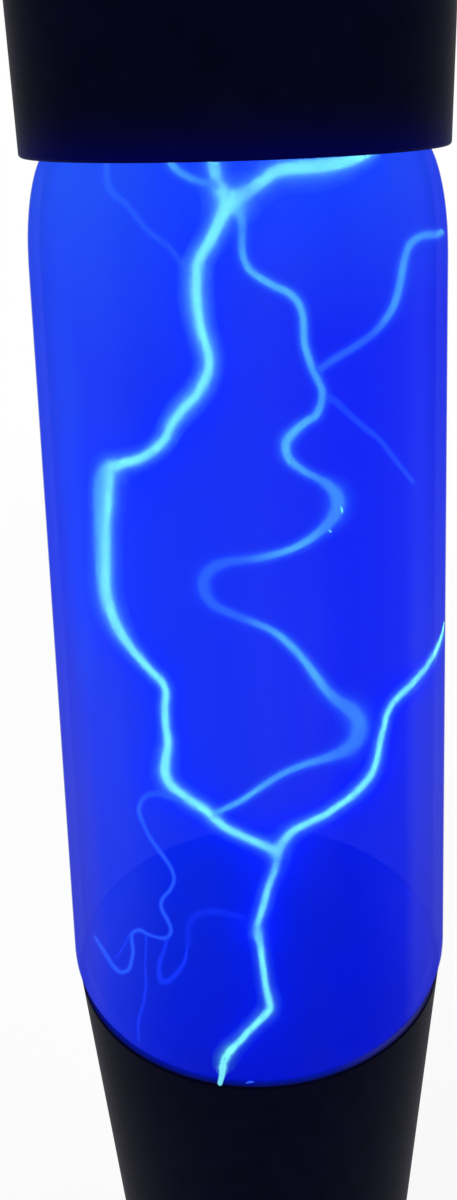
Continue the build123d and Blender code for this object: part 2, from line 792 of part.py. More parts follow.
with BuildPart() as smoothing_capacitors:
    with BuildSketch(Plane.XY.offset(board_top_z)):
        with Locations(*can_cap_places):
            Circle(can_cap_radius)
    extrude(amount=can_cap_height)
    fillet(smoothing_capacitors.edges().group_by(Axis.Z)[-1], radius=can_cap_round)
smoothing_capacitors.part.label = "smoothing_capacitors"
export_step(smoothing_capacitors.part, "parts/smoothing_capacitors.step")

with BuildPart() as film_capacitor:
    with BuildSketch(Plane.XY.offset(board_top_z)):
        with Locations((film_x, film_y)):
            Rectangle(film_width, film_length)
    extrude(amount=film_height)
    fillet(film_capacitor.edges().filter_by(Axis.Z), radius=film_width / 5)
film_capacitor.part.label = "film_capacitor"
export_step(film_capacitor.part, "parts/film_capacitor.step")

with BuildPart() as driver_chip:
    with BuildSketch(Plane.XY.offset(board_top_z + chip_leg)):
        with Locations((chip_x, chip_y)):
            Rectangle(chip_width, chip_length)
    extrude(amount=chip_height)
    with BuildSketch(Plane.XY.offset(board_top_z)):
        with Locations((chip_x, chip_y)):
            with GridLocations(chip_width + chip_leg, chip_leg_pitch, 2, chip_leg_count):
                Rectangle(chip_leg, chip_leg / 2)
    extrude(amount=chip_leg + chip_height / 2)
driver_chip.part.label = "driver_chip"
export_step(driver_chip.part, "parts/driver_chip.step")

with BuildPart() as microphone:
    with BuildSketch(Plane.XY.offset(board_top_z)):
        with Locations((microphone_x, microphone_y)):
            Circle(microphone_radius)
    extrude(amount=microphone_height)
    with BuildSketch(Plane.XY.offset(board_top_z + microphone_height)):
        with Locations((microphone_x, microphone_y)):
            Circle(microphone_mouth)
    extrude(amount=-microphone_mouth, mode=Mode.SUBTRACT)
microphone.part.label = "microphone"
export_step(microphone.part, "parts/microphone.step")

# Inlet: barrel through the panel, flange behind it and a nut in front
jack_mouth_y = panel_y + jack_proud
jack_floor_y = jack_mouth_y - jack_depth
jack_end_y = jack_floor_y - jack_back_wall
with BuildPart() as dc_jack:
    with BuildSketch(Plane.XZ.offset(-jack_mouth_y)):
        with Locations((jack_x, recess_middle_z)):
            Circle(jack_radius)
    extrude(amount=jack_mouth_y - jack_end_y)
    with BuildSketch(Plane.XZ.offset(-panel_back_y)):
        with Locations((jack_x, recess_middle_z)):
            Circle(jack_flange_radius)
    extrude(amount=jack_flange_thickness)
    with BuildSketch(Plane.XZ.offset(-jack_mouth_y - overrun)):
        with Locations((jack_x, recess_middle_z)):
            Circle(jack_bore)
    extrude(amount=jack_depth + overrun, mode=Mode.SUBTRACT)
    with BuildSketch(Plane.XZ.offset(-jack_end_y - jack_back_wall - overrun)):
        with Locations((jack_x, recess_middle_z)):
            Circle(jack_root_radius + seal_gap)
        with Locations((jack_x, recess_middle_z - jack_tag_offset)):
            Rectangle(jack_tag_width + 2 * seal_gap, jack_tag_thickness + 2 * seal_gap)
    extrude(amount=jack_back_wall + 2 * overrun, mode=Mode.SUBTRACT)
dc_jack.part.label = "dc_jack"
export_step(dc_jack.part, "parts/dc_jack.step")

with BuildPart() as jack_pin:
    with BuildSketch(Plane.XZ.offset(-jack_mouth_y + jack_pin_recess)):
        with Locations((jack_x, recess_middle_z)):
            Circle(jack_pin_radius)
    extrude(amount=jack_depth - jack_pin_recess)
    with BuildSketch(Plane.XZ.offset(-jack_floor_y)):
        with Locations((jack_x, recess_middle_z)):
            Circle(jack_root_radius)
    extrude(amount=jack_back_wall + jack_tail)
jack_pin.part.label = "jack_pin"
export_step(jack_pin.part, "parts/jack_pin.step")

with BuildPart() as jack_tag:
    with BuildSketch(Plane.XZ.offset(-jack_end_y - jack_back_wall)):
        with Locations((jack_x, recess_middle_z - jack_tag_offset)):
            Rectangle(jack_tag_width, jack_tag_thickness)
    extrude(amount=jack_back_wall + jack_tail)
jack_tag.part.label = "jack_tag"
export_step(jack_tag.part, "parts/jack_tag.step")

with BuildPart() as jack_nut:
    with BuildSketch(Plane.XZ.offset(-panel_y - nut_thickness)):
        with Locations((jack_x, recess_middle_z)):
            RegularPolygon(nut_across_flats / 2, 6, major_radius=False)
            Circle(jack_radius + thread_gap, mode=Mode.SUBTRACT)
    extrude(amount=nut_thickness)
jack_nut.part.label = "jack_nut"
export_step(jack_nut.part, "parts/jack_nut.step")

# Slide switch: can, slider, contact board and pins, from the panel inward
can_back_y = panel_back_y - can_depth
slider_front_y = panel_back_y - can_wall - slip_gap
with BuildPart() as switch_can:
    with BuildSketch(Plane.XZ.offset(-panel_back_y)):
        with Locations((switch_x, recess_middle_z)):
            Rectangle(can_width, can_height)
    extrude(amount=can_depth)
    with BuildSketch(Plane.XZ.offset(-panel_back_y)):
        with Locations((switch_x, recess_middle_z)):
            Rectangle(flange_width, can_height)
    extrude(amount=can_wall)
    with BuildSketch(Plane.XZ.offset(-panel_back_y + can_wall)):
        with Locations((switch_x, recess_middle_z)):
            Rectangle(can_width - 2 * can_wall, can_height - 2 * can_wall)
    extrude(amount=can_depth, mode=Mode.SUBTRACT)
    with BuildSketch(Plane.XZ.offset(-panel_back_y - overrun)):
        with Locations((switch_x, recess_middle_z)):
            Rectangle(window_width, window_height)
        with Locations(
            (switch_x - switch_screw_spread, recess_middle_z),
            (switch_x + switch_screw_spread, recess_middle_z),
        ):
            Circle(small_screw_radius + thread_gap)
    extrude(amount=can_wall + 2 * overrun, mode=Mode.SUBTRACT)
switch_can.part.label = "switch_can"
export_step(switch_can.part, "parts/switch_can.step")

with BuildPart() as switch_slider:
    with BuildSketch(Plane.XZ.offset(-slider_front_y)):
        with Locations((switch_x, recess_middle_z)):
            Rectangle(slider_width, slider_height)
    extrude(amount=slider_thickness)
    with BuildSketch(Plane.XZ.offset(-panel_y - knob_proud)):
        with Locations((switch_x, recess_middle_z)):
            Rectangle(knob_width, knob_height)
    extrude(amount=panel_y + knob_proud - slider_front_y)
    chamfer(switch_slider.faces().sort_by(Axis.Y)[-1].edges(), length=edge_break)
switch_slider.part.label = "switch_slider"
export_step(switch_slider.part, "parts/switch_slider.step")

with BuildPart() as switch_base:
    with BuildSketch(Plane.XZ.offset(-can_back_y - switch_base_thickness)):
        with Locations((switch_x, recess_middle_z)):
            Rectangle(can_width - 2 * (can_wall + bond_gap), can_height - 2 * (can_wall + bond_gap))
            with GridLocations(pin_pitch, pin_pitch, pin_count, 1):
                Rectangle(
                    switch_pin_width + 2 * seal_gap,
                    switch_pin_thickness + 2 * seal_gap,
                    mode=Mode.SUBTRACT,
                )
    extrude(amount=switch_base_thickness)
switch_base.part.label = "switch_base"
export_step(switch_base.part, "parts/switch_base.step")

with BuildPart() as switch_pins:
    with BuildSketch(Plane.XZ.offset(-can_back_y - switch_base_thickness)):
        with Locations((switch_x, recess_middle_z)):
            with GridLocations(pin_pitch, pin_pitch, pin_count, 1):
                Rectangle(switch_pin_width, switch_pin_thickness)
    extrude(amount=switch_base_thickness + switch_pin_length)
switch_pins.part.label = "switch_pins"
export_step(switch_pins.part, "parts/switch_pins.step")

with BuildPart() as switch_screws:
    with BuildSketch(Plane.XZ.offset(-panel_y)):
        with Locations((switch_x, recess_middle_z)):
            with GridLocations(2 * switch_screw_spread, switch_screw_spread, 2, 1):
                Circle(small_screw_radius)
    extrude(amount=panel_screw_length)
    with BuildSketch(Plane.XZ.offset(-panel_y)):
        with Locations((switch_x, recess_middle_z)):
            with GridLocations(2 * switch_screw_spread, switch_screw_spread, 2, 1):
                Circle(small_head_radius)
    extrude(amount=-small_head_height)
    fillet(switch_screws.edges().group_by(Axis.Y)[-1], radius=small_head_height / 2)
switch_screws.part.label = "switch_screws"
export_step(switch_screws.part, "parts/switch_screws.step")

# Wires
arc_share = 0.45  # of the shorter run at a corner
lead_radius = 0.7
lead_rise = 4.0
lead_spread = 4.0
high_voltage_radius = 1.5
high_voltage_run = 20.0  # along the lead's longer runs
lead_seat_y = board_back_y - 2 * lead_radius


def corner_radii(points):
    """Each corner's arc, as large as its two runs allow."""
    radii = []
    for before, corner, after in zip(points, points[1:], points[2:]):
        first = Vector(*corner) - Vector(*before)
        second = Vector(*after) - Vector(*corner)
        half_turn = radians(first.get_angle(second)) / 2
        radii.append(arc_share * min(first.length, second.length) / tan(half_turn))
    return radii


def wire(name, points, radius):
    """A round wire along straight runs joined by arcs."""
    radii = corner_radii(points)
    with BuildPart() as strand:
        with BuildLine() as route:
            FilletPolyline(*points, radius=radii)
        path = route.wires()[0]
        with BuildSketch(Plane(origin=path @ 0, z_dir=path % 0)):
            Circle(radius)
        sweep(path=path)
    print(name, "radii", [round(arc, 1) for arc in radii], "length", round(path.length, 1))
    print(name, "volume", round(strand.part.volume, 1), "of", round(pi * radius**2 * path.length, 1))
    return strand.part


def board_lead(start_x, start_y, start_z, shift):
    """A lead's route from a terminal, up and over to the board's back edge."""
    top_z = start_z + lead_rise
    return [
        (start_x, start_y, start_z),
        (start_x, start_y - lead_rise / 2, start_z),
        (start_x + shift, start_y - lead_rise, top_z),
        (start_x + shift, lead_seat_y, top_z),
        (start_x + shift, lead_seat_y, board_top_z + bond_gap),
    ]


jack_tail_y = jack_end_y - jack_tail - bond_gap
switch_tail_y = can_back_y - switch_pin_length - bond_gap
with BuildPart() as jack_leads:
    add(wire("jack lead", board_lead(jack_x, jack_tail_y, recess_middle_z, 0), lead_radius))
    tag_route = board_lead(jack_x, jack_tail_y, recess_middle_z - jack_tag_offset, -lead_spread)
    add(wire("jack earth lead", tag_route, lead_radius))
jack_leads.part.label = "jack_leads"
export_step(jack_leads.part, "parts/jack_leads.step")

with BuildPart() as switch_leads:
    for number in range(1, pin_count):
        pin_x = switch_x + (number - (pin_count - 1) / 2) * pin_pitch
        add(wire("switch lead", board_lead(pin_x, switch_tail_y, recess_middle_z, 0), lead_radius))
switch_leads.part.label = "switch_leads"
export_step(switch_leads.part, "parts/switch_leads.step")

high_voltage_start_z = core_middle_z + secondary_height / 2 + bond_gap
high_voltage_y = (core_leg / 2 + secondary_radius) / 2
boot_z = neck_end_z - boot_length
high_voltage_step = high_voltage_run / 4
high_voltage_route = [
    (secondary_x, high_voltage_y, high_voltage_start_z),
    (secondary_x, high_voltage_y, waist_z + high_voltage_step),
    (secondary_x + high_voltage_radius, high_voltage_y + high_voltage_step, waist_z + high_voltage_run),
    (secondary_x / 2, high_voltage_step, boot_z - high_voltage_run),
    (0, 0, boot_z - high_voltage_run / 2),
    (0, 0, neck_end_z - pin_proud - bond_gap),
]
with BuildPart() as high_voltage_lead:
    add(wire("high voltage lead", high_voltage_route, high_voltage_radius))
high_voltage_lead.part.label = "high_voltage_lead"
export_step(high_voltage_lead.part, "parts/high_voltage_lead.step")

with BuildPart() as electrode_boot:
    with BuildSketch(Plane.XY.offset(neck_end_z - bond_gap)):
        Circle(boot_radius)
    extrude(amount=-boot_length, taper=boot_taper)
    fillet(electrode_boot.edges().group_by(Axis.Z)[0], radius=boot_radius / 5)
    with BuildSketch(Plane.XY.offset(neck_end_z)):
        Circle(pin_radius + thread_gap)
    extrude(amount=-pin_proud - overrun, mode=Mode.SUBTRACT)
    with BuildSketch(Plane.XY.offset(neck_end_z - pin_proud)):
        Circle(high_voltage_radius + thread_gap)
    extrude(amount=-boot_length, mode=Mode.SUBTRACT)
electrode_boot.part.label = "electrode_boot"
export_step(electrode_boot.part, "parts/electrode_boot.step")

# Cap
cap_wall = 2.2
cap_clearance = 1.8
cap_round = 14.0
crown_slope = 5.0  # degrees
cap_edge_round = 0.8
cap_seal_recess = 1.0  # from the cap's rim up to the seal
cap_seal_height = 4.0
boss_inset = 11.6  # from the middle of the shoulder in to the boss
boss_wall = 2.2
cap_rib_count = 6
cap_pad_inner = 8.0
cap_pad_inset = 7.6
cap_pad_rise = 3.0
foil_inner = 6.0
foil_inset = 5.6
foil_thickness = 0.3
boss_radius = shoulder_centre - boss_inset
cap_pad_outer = shoulder_centre - cap_pad_inset
foil_outer = shoulder_centre - foil_inset
cap_bore = glass_at_cap + cap_clearance
cap_radius = cap_bore + cap_wall
cap_pad_top_z = crown_z + cap_pad_rise
cap_top_z = cap_z + cap_height


def cap_outline(inset):
    """Half outline of the cap: it leans out, then rounds over to a faintly domed top."""
    low_z = cap_z if inset == 0 else cap_z - overrun
    lean = radians(cap_slope)
    crown = radians(crown_slope)
    corner = cap_round - inset
    top_z = cap_top_z - inset
    # The round's height and width, and the crown's rise for each unit of radius
    round_height = corner * (sin(lean) + cos(crown))
    round_width = corner * (cos(lean) - sin(crown))
    rise = tan(crown / 2)
    low_radius = cap_radius - inset - round_width - cap_z * tan(lean)
    side_top_z = (top_z - round_height - rise * low_radius) / (1 + rise * tan(lean))
    side_top = (cap_radius - inset + (side_top_z - cap_z) * tan(lean), side_top_z)
    with BuildSketch(Plane.XZ) as half:
        with BuildLine():
            side = Line((cap_radius - inset + (low_z - cap_z) * tan(lean), low_z), side_top)
            over = JernArc(side @ 1, side % 1, corner, 90 + cap_slope - crown_slope)
            TangentArc(over @ 1, (0, top_z), tangent=over % 1)
            Polyline((0, top_z), (0, low_z), side @ 0)
        make_face()
    return half.sketch


with BuildPart() as cap_space:
    revolve(cap_outline(cap_wall), axis=Axis.Z)
    with BuildSketch(Plane.XY.offset(cap_pad_top_z)):
        Circle(boss_radius)
        Circle(boss_radius - boss_wall, mode=Mode.SUBTRACT)
        with PolarLocations((boss_radius + glass_radius) / 2, cap_rib_count):
            Rectangle(glass_radius - boss_radius + boss_wall, rib_thickness)
    extrude(amount=cap_height, mode=Mode.SUBTRACT)

with BuildPart() as cap_shell:
    revolve(cap_outline(0), axis=Axis.Z)
    fillet(cap_shell.edges().group_by(Axis.Z)[0], radius=cap_edge_round)
    add(cap_space.part, mode=Mode.SUBTRACT)
cap_shell.part.label = "cap_shell"
export_step(cap_shell.part, "parts/cap_shell.step")

with BuildPart() as cap_pad:
    with BuildSketch(Plane.XY.offset(shoulder_z)):
        Circle(cap_pad_outer)
        Circle(cap_pad_inner, mode=Mode.SUBTRACT)
    extrude(amount=cap_pad_top_z - bond_gap - shoulder_z)
    revolve(glass_outline(-bond_gap - foil_thickness - bond_gap), axis=Axis.Z, mode=Mode.SUBTRACT)
cap_pad.part.label = "cap_pad"
export_step(cap_pad.part, "parts/cap_pad.step")

with BuildPart() as cap_electrode:
    with BuildSketch(Plane.XY.offset(shoulder_z)):
        Circle(foil_outer)
        Circle(foil_inner, mode=Mode.SUBTRACT)
    extrude(amount=cap_height)
    revolve(glass_outline(-bond_gap - foil_thickness), axis=Axis.Z, mode=Mode.INTERSECT)
    revolve(glass_outline(-bond_gap), axis=Axis.Z, mode=Mode.SUBTRACT)
cap_electrode.part.label = "cap_electrode"
export_step(cap_electrode.part, "parts/cap_electrode.step")

with BuildPart() as cap_seal:
    cap_seal_z = cap_z + cap_seal_recess
    add(bonded_ring(shoulder_centre, cap_bore - bond_gap, cap_seal_z, cap_seal_z + cap_seal_height))
cap_seal.part.label = "cap_seal"
export_step(cap_seal.part, "parts/cap_seal.step")
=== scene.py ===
import json
import math

import bmesh
import bpy
from mathutils import Matrix, Vector


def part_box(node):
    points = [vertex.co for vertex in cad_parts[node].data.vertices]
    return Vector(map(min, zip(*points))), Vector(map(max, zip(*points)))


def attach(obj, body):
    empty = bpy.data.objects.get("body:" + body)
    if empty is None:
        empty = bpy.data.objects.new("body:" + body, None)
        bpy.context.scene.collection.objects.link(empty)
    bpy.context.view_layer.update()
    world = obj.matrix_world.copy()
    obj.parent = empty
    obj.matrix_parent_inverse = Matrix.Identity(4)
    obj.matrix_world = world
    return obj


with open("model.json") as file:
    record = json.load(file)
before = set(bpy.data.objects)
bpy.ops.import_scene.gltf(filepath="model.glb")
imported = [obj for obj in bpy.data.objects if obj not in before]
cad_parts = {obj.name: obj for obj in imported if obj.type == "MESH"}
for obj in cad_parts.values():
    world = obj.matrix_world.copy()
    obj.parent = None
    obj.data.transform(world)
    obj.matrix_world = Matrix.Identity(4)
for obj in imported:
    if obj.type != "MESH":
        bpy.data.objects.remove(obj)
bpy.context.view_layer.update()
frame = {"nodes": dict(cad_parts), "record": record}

# Metres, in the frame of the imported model: Z up, and the photo's camera looks from -Y
MM = 0.001
IMAGE_WIDTH = 457
IMAGE_HEIGHT = 1200

# Places read from the frame
CAP_RIM_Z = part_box("cap_shell")[0].z
CUP_RIM_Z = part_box("base_cup")[1].z
CUP_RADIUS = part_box("base_cup")[1].x
GLASS_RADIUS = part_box("glass_envelope")[1].x
SEAL_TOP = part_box("glass_seal")[1].z

# The tube's wall and corners, in the sizes of the CAD model
WALL = 2.2 * MM
RIM_GRIP = 1.7 * MM
CORNER_RADIUS = 7.0 * MM
SHOULDER_WIDTH = 6.4 * MM
SHOULDER_HEIGHT = 22.4 * MM
SHOULDER_SHOWN = 20.0 * MM
SHOULDER_TURN = 80  # degrees
DOME_RISE = 5.0 * MM
FLOOR_Z = CUP_RIM_Z - RIM_GRIP + WALL

# Camera, fitted to the tube's outline and its two rims
FOCAL_PIXELS = 1152.4
MIDDLE_X = 236.9
MIDDLE_Y = 340.1
PITCH = 0.2096
ROLL = -0.0311
YAW = -0.0034
CAMERA_DISTANCE = 0.22138
CAMERA_ABOVE_RIM = 0.01013
SENSOR = 36.0
CLIP_START = 0.01

CAMERA_PLACE = Vector((0, -CAMERA_DISTANCE, CAP_RIM_Z + CAMERA_ABOVE_RIM))
FORWARD = Vector((math.sin(YAW) * math.cos(PITCH), math.cos(YAW) * math.cos(PITCH), -math.sin(PITCH)))
LEVEL_RIGHT = Vector((math.cos(YAW), -math.sin(YAW), 0))
LEVEL_UP = LEVEL_RIGHT.cross(FORWARD)
RIGHT = LEVEL_RIGHT * math.cos(ROLL) + LEVEL_UP * math.sin(ROLL)
UP = LEVEL_UP * math.cos(ROLL) - LEVEL_RIGHT * math.sin(ROLL)


def linear(red, green, blue):
    """A colour of 0 to 255 as it is seen, in linear light."""
    shares = [value / 255 for value in (red, green, blue)]
    return tuple(v / 12.92 if v < 0.04045 else ((v + 0.055) / 1.055) ** 2.4 for v in shares)


# Glass: what its wall lets through, face on and edge on, and how much of what is seen is gloss
GLASS_TINT = (0.50, 0.60, 0.97)
GLASS_LIGHTER = 1.08
EDGE_TINT = (0.30, 0.34, 0.58)
EDGE_ON = (0.55, 1.0)
GLOSS_SHARE = 0.015
GLOSS_COLOUR = (0.002, 0.004, 0.03)
GLOSS_ROUGHNESS = 0.08
GLASS_IOR = 1.45
DRAW_SCALE = 26
DRAW_STRETCH = (1, 1, 0.12)
DRAW_DEPTH = 0.05 * MM
DRAW_BUMP = 0.1

# Gas: how much of what is behind it one layer of its glow hides, and its colours
VEIL = 0.84
GAS_DEEP = linear(2, 32, 250)
# Pale: of the gas under the cap, and of a painted reflection on the glass at the left
GAS_PALE = linear(34, 104, 251)
# Violet and grey: of a painted reflection on the glass along the gas's sides
REFLECTION_VIOLET = linear(50, 70, 246)
REFLECTION_GREY = linear(80, 84, 214)
GAS_LOW = linear(8, 26, 206)
GAS_LEAST = tuple(map(min, GAS_DEEP, GAS_LOW))

# Where its colours change: two places across or two heights, and the share at each
# The paleness at the upper left and beside the left strand is a painted reflection on the glass
PALE_LEFT = (-0.9 * GLASS_RADIUS, 0.4 * GLASS_RADIUS, 1.0, 0.0)
PALE_UPPER = (CAP_RIM_Z - 36 * MM, CAP_RIM_Z, 0.3, 1.0)
PALE_TOP = (CAP_RIM_Z - 30 * MM, CAP_RIM_Z, 0.0, 0.55)
PALE_BESIDE = (-0.76 * GLASS_RADIUS, -0.6 * GLASS_RADIUS, 0.55, 0.0)
PALE_HALFWAY = (CAP_RIM_Z - 115 * MM, CAP_RIM_Z - 90 * MM, 0.0, 1.0)
LOW_FOOT = (FLOOR_Z, FLOOR_Z + 62 * MM, 1.0, 0.0)
LOW_ACROSS = (-0.8 * GLASS_RADIUS, -0.2 * GLASS_RADIUS, 0.45, 1.0)
# The bands along the sides and the upright streaks are a painted reflection on the glass
LEFT_EDGE = (-0.84 * GLASS_RADIUS, -0.72 * GLASS_RADIUS, 0.6, 0.0)
LEFT_BAND = (-0.75 * GLASS_RADIUS, -0.4 * GLASS_RADIUS, 0.18, 0.0)
RIGHT_EDGE = (0.80 * GLASS_RADIUS, 0.95 * GLASS_RADIUS, 0.0, 0.35)
RIGHT_BAND = (0.70 * GLASS_RADIUS, 0.77 * GLASS_RADIUS, 0.0, 0.5)
BANDS_LOWER = (CAP_RIM_Z - 90 * MM, CAP_RIM_Z - 20 * MM, 1.0, 0.35)
BANDS_OVER_FOOT = (FLOOR_Z, FLOOR_Z + 50 * MM, 0.5, 1.0)
STREAKS_OVER_FOOT = (FLOOR_Z + 35 * MM, FLOOR_Z + 75 * MM, 0.0, 1.0)
GREY_LOWER = (FLOOR_Z + 20 * MM, FLOOR_Z + 95 * MM, 1.0, 0.0)
# Upright streaks that break up the painted reflection and the paleness
STREAK_SCALE = 60
STREAK_STRETCH = (1, 1, 0.08)
STREAK_PALE = (0.75, 1.05)
REFLECTION_STREAKS = (0.5, 0.66, 0.0, 0.16)

# The tube's floor as it shows through the gas, by the distance from its middle line
FLOOR_DARK = linear(34, 40, 70)
FLOOR_BLUE = linear(0, 8, 240)
FLOOR_PALE = linear(82, 98, 250)
FLOOR_NEAR_WALL = (0.5 * GLASS_RADIUS, 0.92 * GLASS_RADIUS, 0, 1)
FLOOR_PALE_POWER = 1.6
FLOOR_MIDDLE = (3 * MM, 15 * MM, 1.0, 0.0)
FLOOR_PATCHES = (0.45, 0.62, 0.0, 1.0)
FLOOR_PATCH_SHARE = 0.7
FLOOR_SCALE = 42
FLOOR_COVER = 0.92

# The blue light on the seal at the glass's foot
RIM_DEEP = linear(4, 26, 206)
RIM_LIGHT = linear(16, 40, 216)
RIM_VIOLET = linear(86, 84, 190)
RIM_FADE = (CUP_RADIUS - 1.9 * MM, CUP_RADIUS + 0.1 * MM, 0.96, 0.0)
RIM_RIGHT = (0.35 * CUP_RADIUS, 0.8 * CUP_RADIUS, 0.0, 1.0)
RIM_SCALE = 70
RIM_STRENGTH = 0.9

# Streamers: how their cores look
CORE_BRIGHT = linear(155, 291, 258)
CORE_PALE = linear(88, 186, 255)
CORE_DIM = linear(50, 104, 255)
CORE_FAINT = linear(44, 94, 255)
CORE_MIST = linear(28, 62, 255)
CORE_DEEP = linear(3, 28, 255)
CORE_RIM = linear(126, 234, 255)
FLICKER = (0.92, 1.08)
FLICKER_SCALE = 90
WEAK_FULL = 0.5  # share of a weak spot's reach within which it is at its most
# Layers of a streamer from its core out: share of its width, how much it hides
BRIGHT_LAYERS = (
    (0.6, 0.97), (0.85, 0.40), (1.1, 0.17), (1.5, 0.08), (2.0, 0.036), (2.7, 0.02), (3.6, 0.012),
)
PALE_LAYERS = ((0.6, 0.95), (0.85, 0.4), (1.1, 0.2), (1.5, 0.09), (2.1, 0.04), (2.9, 0.02))
SOFT_LAYERS = ((0.5, 0.35), (0.75, 0.3), (1.0, 0.25), (1.25, 0.12), (1.7, 0.04))
FAINT_LAYERS = ((0.5, 0.7), (0.85, 0.35), (1.4, 0.12))
MIST_LAYERS = ((0.6, 0.22), (1.0, 0.15), (1.4, 0.09))
FADING_LAYERS = ((0.6, 0.2), (1.0, 0.14), (1.5, 0.08))
ARC_LAYERS = ((0.6, 0.09), (1.0, 0.07), (1.6, 0.05))
DEEP_LAYERS = ((4.5, 0.11), (6.5, 0.08), (9.0, 0.05), (12.0, 0.03))
HALO_LAYERS = ((1.3, 0.05), (1.8, 0.045), (2.3, 0.03), (2.9, 0.016), (3.5, 0.012), (4.3, 0.014))
SPARK_LAYERS = ((1.0, 0.97),)
# The rim's light: how much it hides, and its share of the traced width
RIM_RUN_COVER = 0.97
RIM_RUN_WIDTH = 0.7
RIM_GLOW_COVER = 0.25
RIM_GLOW_WIDTH = 0.95
# How much the painted glints on the seal hide
RIM_PAINTED_GLINT_COVER = 0.8

# The light of the gas on the cap, just over its rim
SPILL_BLUE = (0.0003, 0.0005, 0.045)
SPILL_GLOSS = (0.55, 0.6, 1)
SPILL_HEIGHT = 14 * MM
SPILL_BELOW = 3 * MM
SPILL_POWER = 3.0

# A finish: the share of a noise that its shades span, its patches in grains, and its relief
NOISE_SPAN = (0.3, 0.7)
NOISE_DETAIL = 3.0
PATCH_GRAINS = 12
FINISH_BUMP = 0.35

# By slot: dark shade, light shade, roughness, grains in a metre, their depth in mm, what else differs
METAL = {"metallic": 1.0}
FINISHES = {
    "shell_plastic": (
        (0.0008, 0.0009, 0.0055), (0.0013, 0.0014, 0.0080), (0.38, 0.50), 2200, 0.03,
        {"shine": 0.006, "lit": True},
    ),
    "seal_rubber": (
        (0.002, 0.003, 0.02), (0.004, 0.005, 0.03), (0.6, 0.8), 1500, 0.02, {"shine": 0.01},
    ),
    "feet_rubber": (
        (0.01, 0.01, 0.011), (0.02, 0.02, 0.022), (0.7, 0.9), 1400, 0.05, {"shine": 0.3},
    ),
    "foam": ((0.05, 0.05, 0.055), (0.12, 0.12, 0.13), (0.85, 1.0), 1800, 0.2, {"shine": 0.1}),
    "steel": ((0.5, 0.51, 0.53), (0.66, 0.67, 0.69), (0.25, 0.4), 1600, 0.01, METAL),
    "dark_steel": ((0.02, 0.02, 0.023), (0.045, 0.045, 0.05), (0.35, 0.5), 1600, 0.01, METAL),
    "nickel": ((0.6, 0.58, 0.55), (0.76, 0.74, 0.7), (0.15, 0.28), 1600, 0.005, METAL),
    "aluminium": (
        (0.66, 0.67, 0.69), (0.8, 0.81, 0.83), (0.3, 0.45), 900, 0.02,
        {"stretch": (1, 1, 0.1), **METAL},
    ),
    "foil": ((0.7, 0.7, 0.72), (0.85, 0.85, 0.87), (0.2, 0.4), 400, 0.1, METAL),
    "board": ((0.01, 0.12, 0.05), (0.02, 0.18, 0.08), (0.35, 0.5), 700, 0.03, {}),
    "ferrite": ((0.04, 0.04, 0.043), (0.08, 0.08, 0.085), (0.6, 0.8), 2000, 0.04, {"shine": 0.3}),
    "coil_resin": ((0.01, 0.01, 0.011), (0.02, 0.02, 0.022), (0.2, 0.35), 500, 0.05, {}),
    "coil_tape": (
        (0.6, 0.42, 0.03), (0.8, 0.6, 0.07), (0.25, 0.4), 300, 0.05, {"stretch": (0.2, 0.2, 1)},
    ),
    "capacitor_sleeve": ((0.01, 0.015, 0.035), (0.025, 0.03, 0.06), (0.25, 0.4), 800, 0.02, {}),
    "film_case": ((0.28, 0.03, 0.02), (0.4, 0.06, 0.04), (0.25, 0.4), 600, 0.05, {}),
    "chip_epoxy": ((0.012, 0.012, 0.013), (0.025, 0.025, 0.028), (0.6, 0.8), 2400, 0.02, {}),
    "socket_plastic": ((0.02, 0.02, 0.023), (0.035, 0.035, 0.04), (0.45, 0.6), 1800, 0.02, {}),
    "jack_plastic": ((0.012, 0.012, 0.014), (0.022, 0.022, 0.025), (0.25, 0.4), 1800, 0.01, {}),
    "slider_plastic": ((0.016, 0.016, 0.019), (0.03, 0.03, 0.034), (0.4, 0.55), 1800, 0.02, {}),
    "wire_black": ((0.012, 0.012, 0.013), (0.022, 0.022, 0.024), (0.4, 0.55), 1500, 0.01, {}),
    "wire_red": ((0.36, 0.02, 0.012), (0.5, 0.04, 0.025), (0.4, 0.55), 1500, 0.01, {}),
}

# Studio
WORLD_COLOUR = (0.93, 0.96, 1)
WORLD_STRENGTH = 0.5
WHITE = (1, 1, 1)
STUDIO_FLOOR = (0.88, 0.88, 0.88)
STUDIO_FLOOR_REACH = 60.0
FLOOR_TO_WHITE = (0.25, 0.9, 0.86, 1.0)
LAMP_AIM = Vector((0, 0, 0.2))
# Name, place, power, size
LAMPS = (
    ("key", Vector((-0.9, -1.1, 1.3)), 21.0, 1.0),
    ("fill", Vector((1.2, -0.7, 0.9)), 13.0, 1.2),
)
TRANSPARENT_BOUNCES = 64

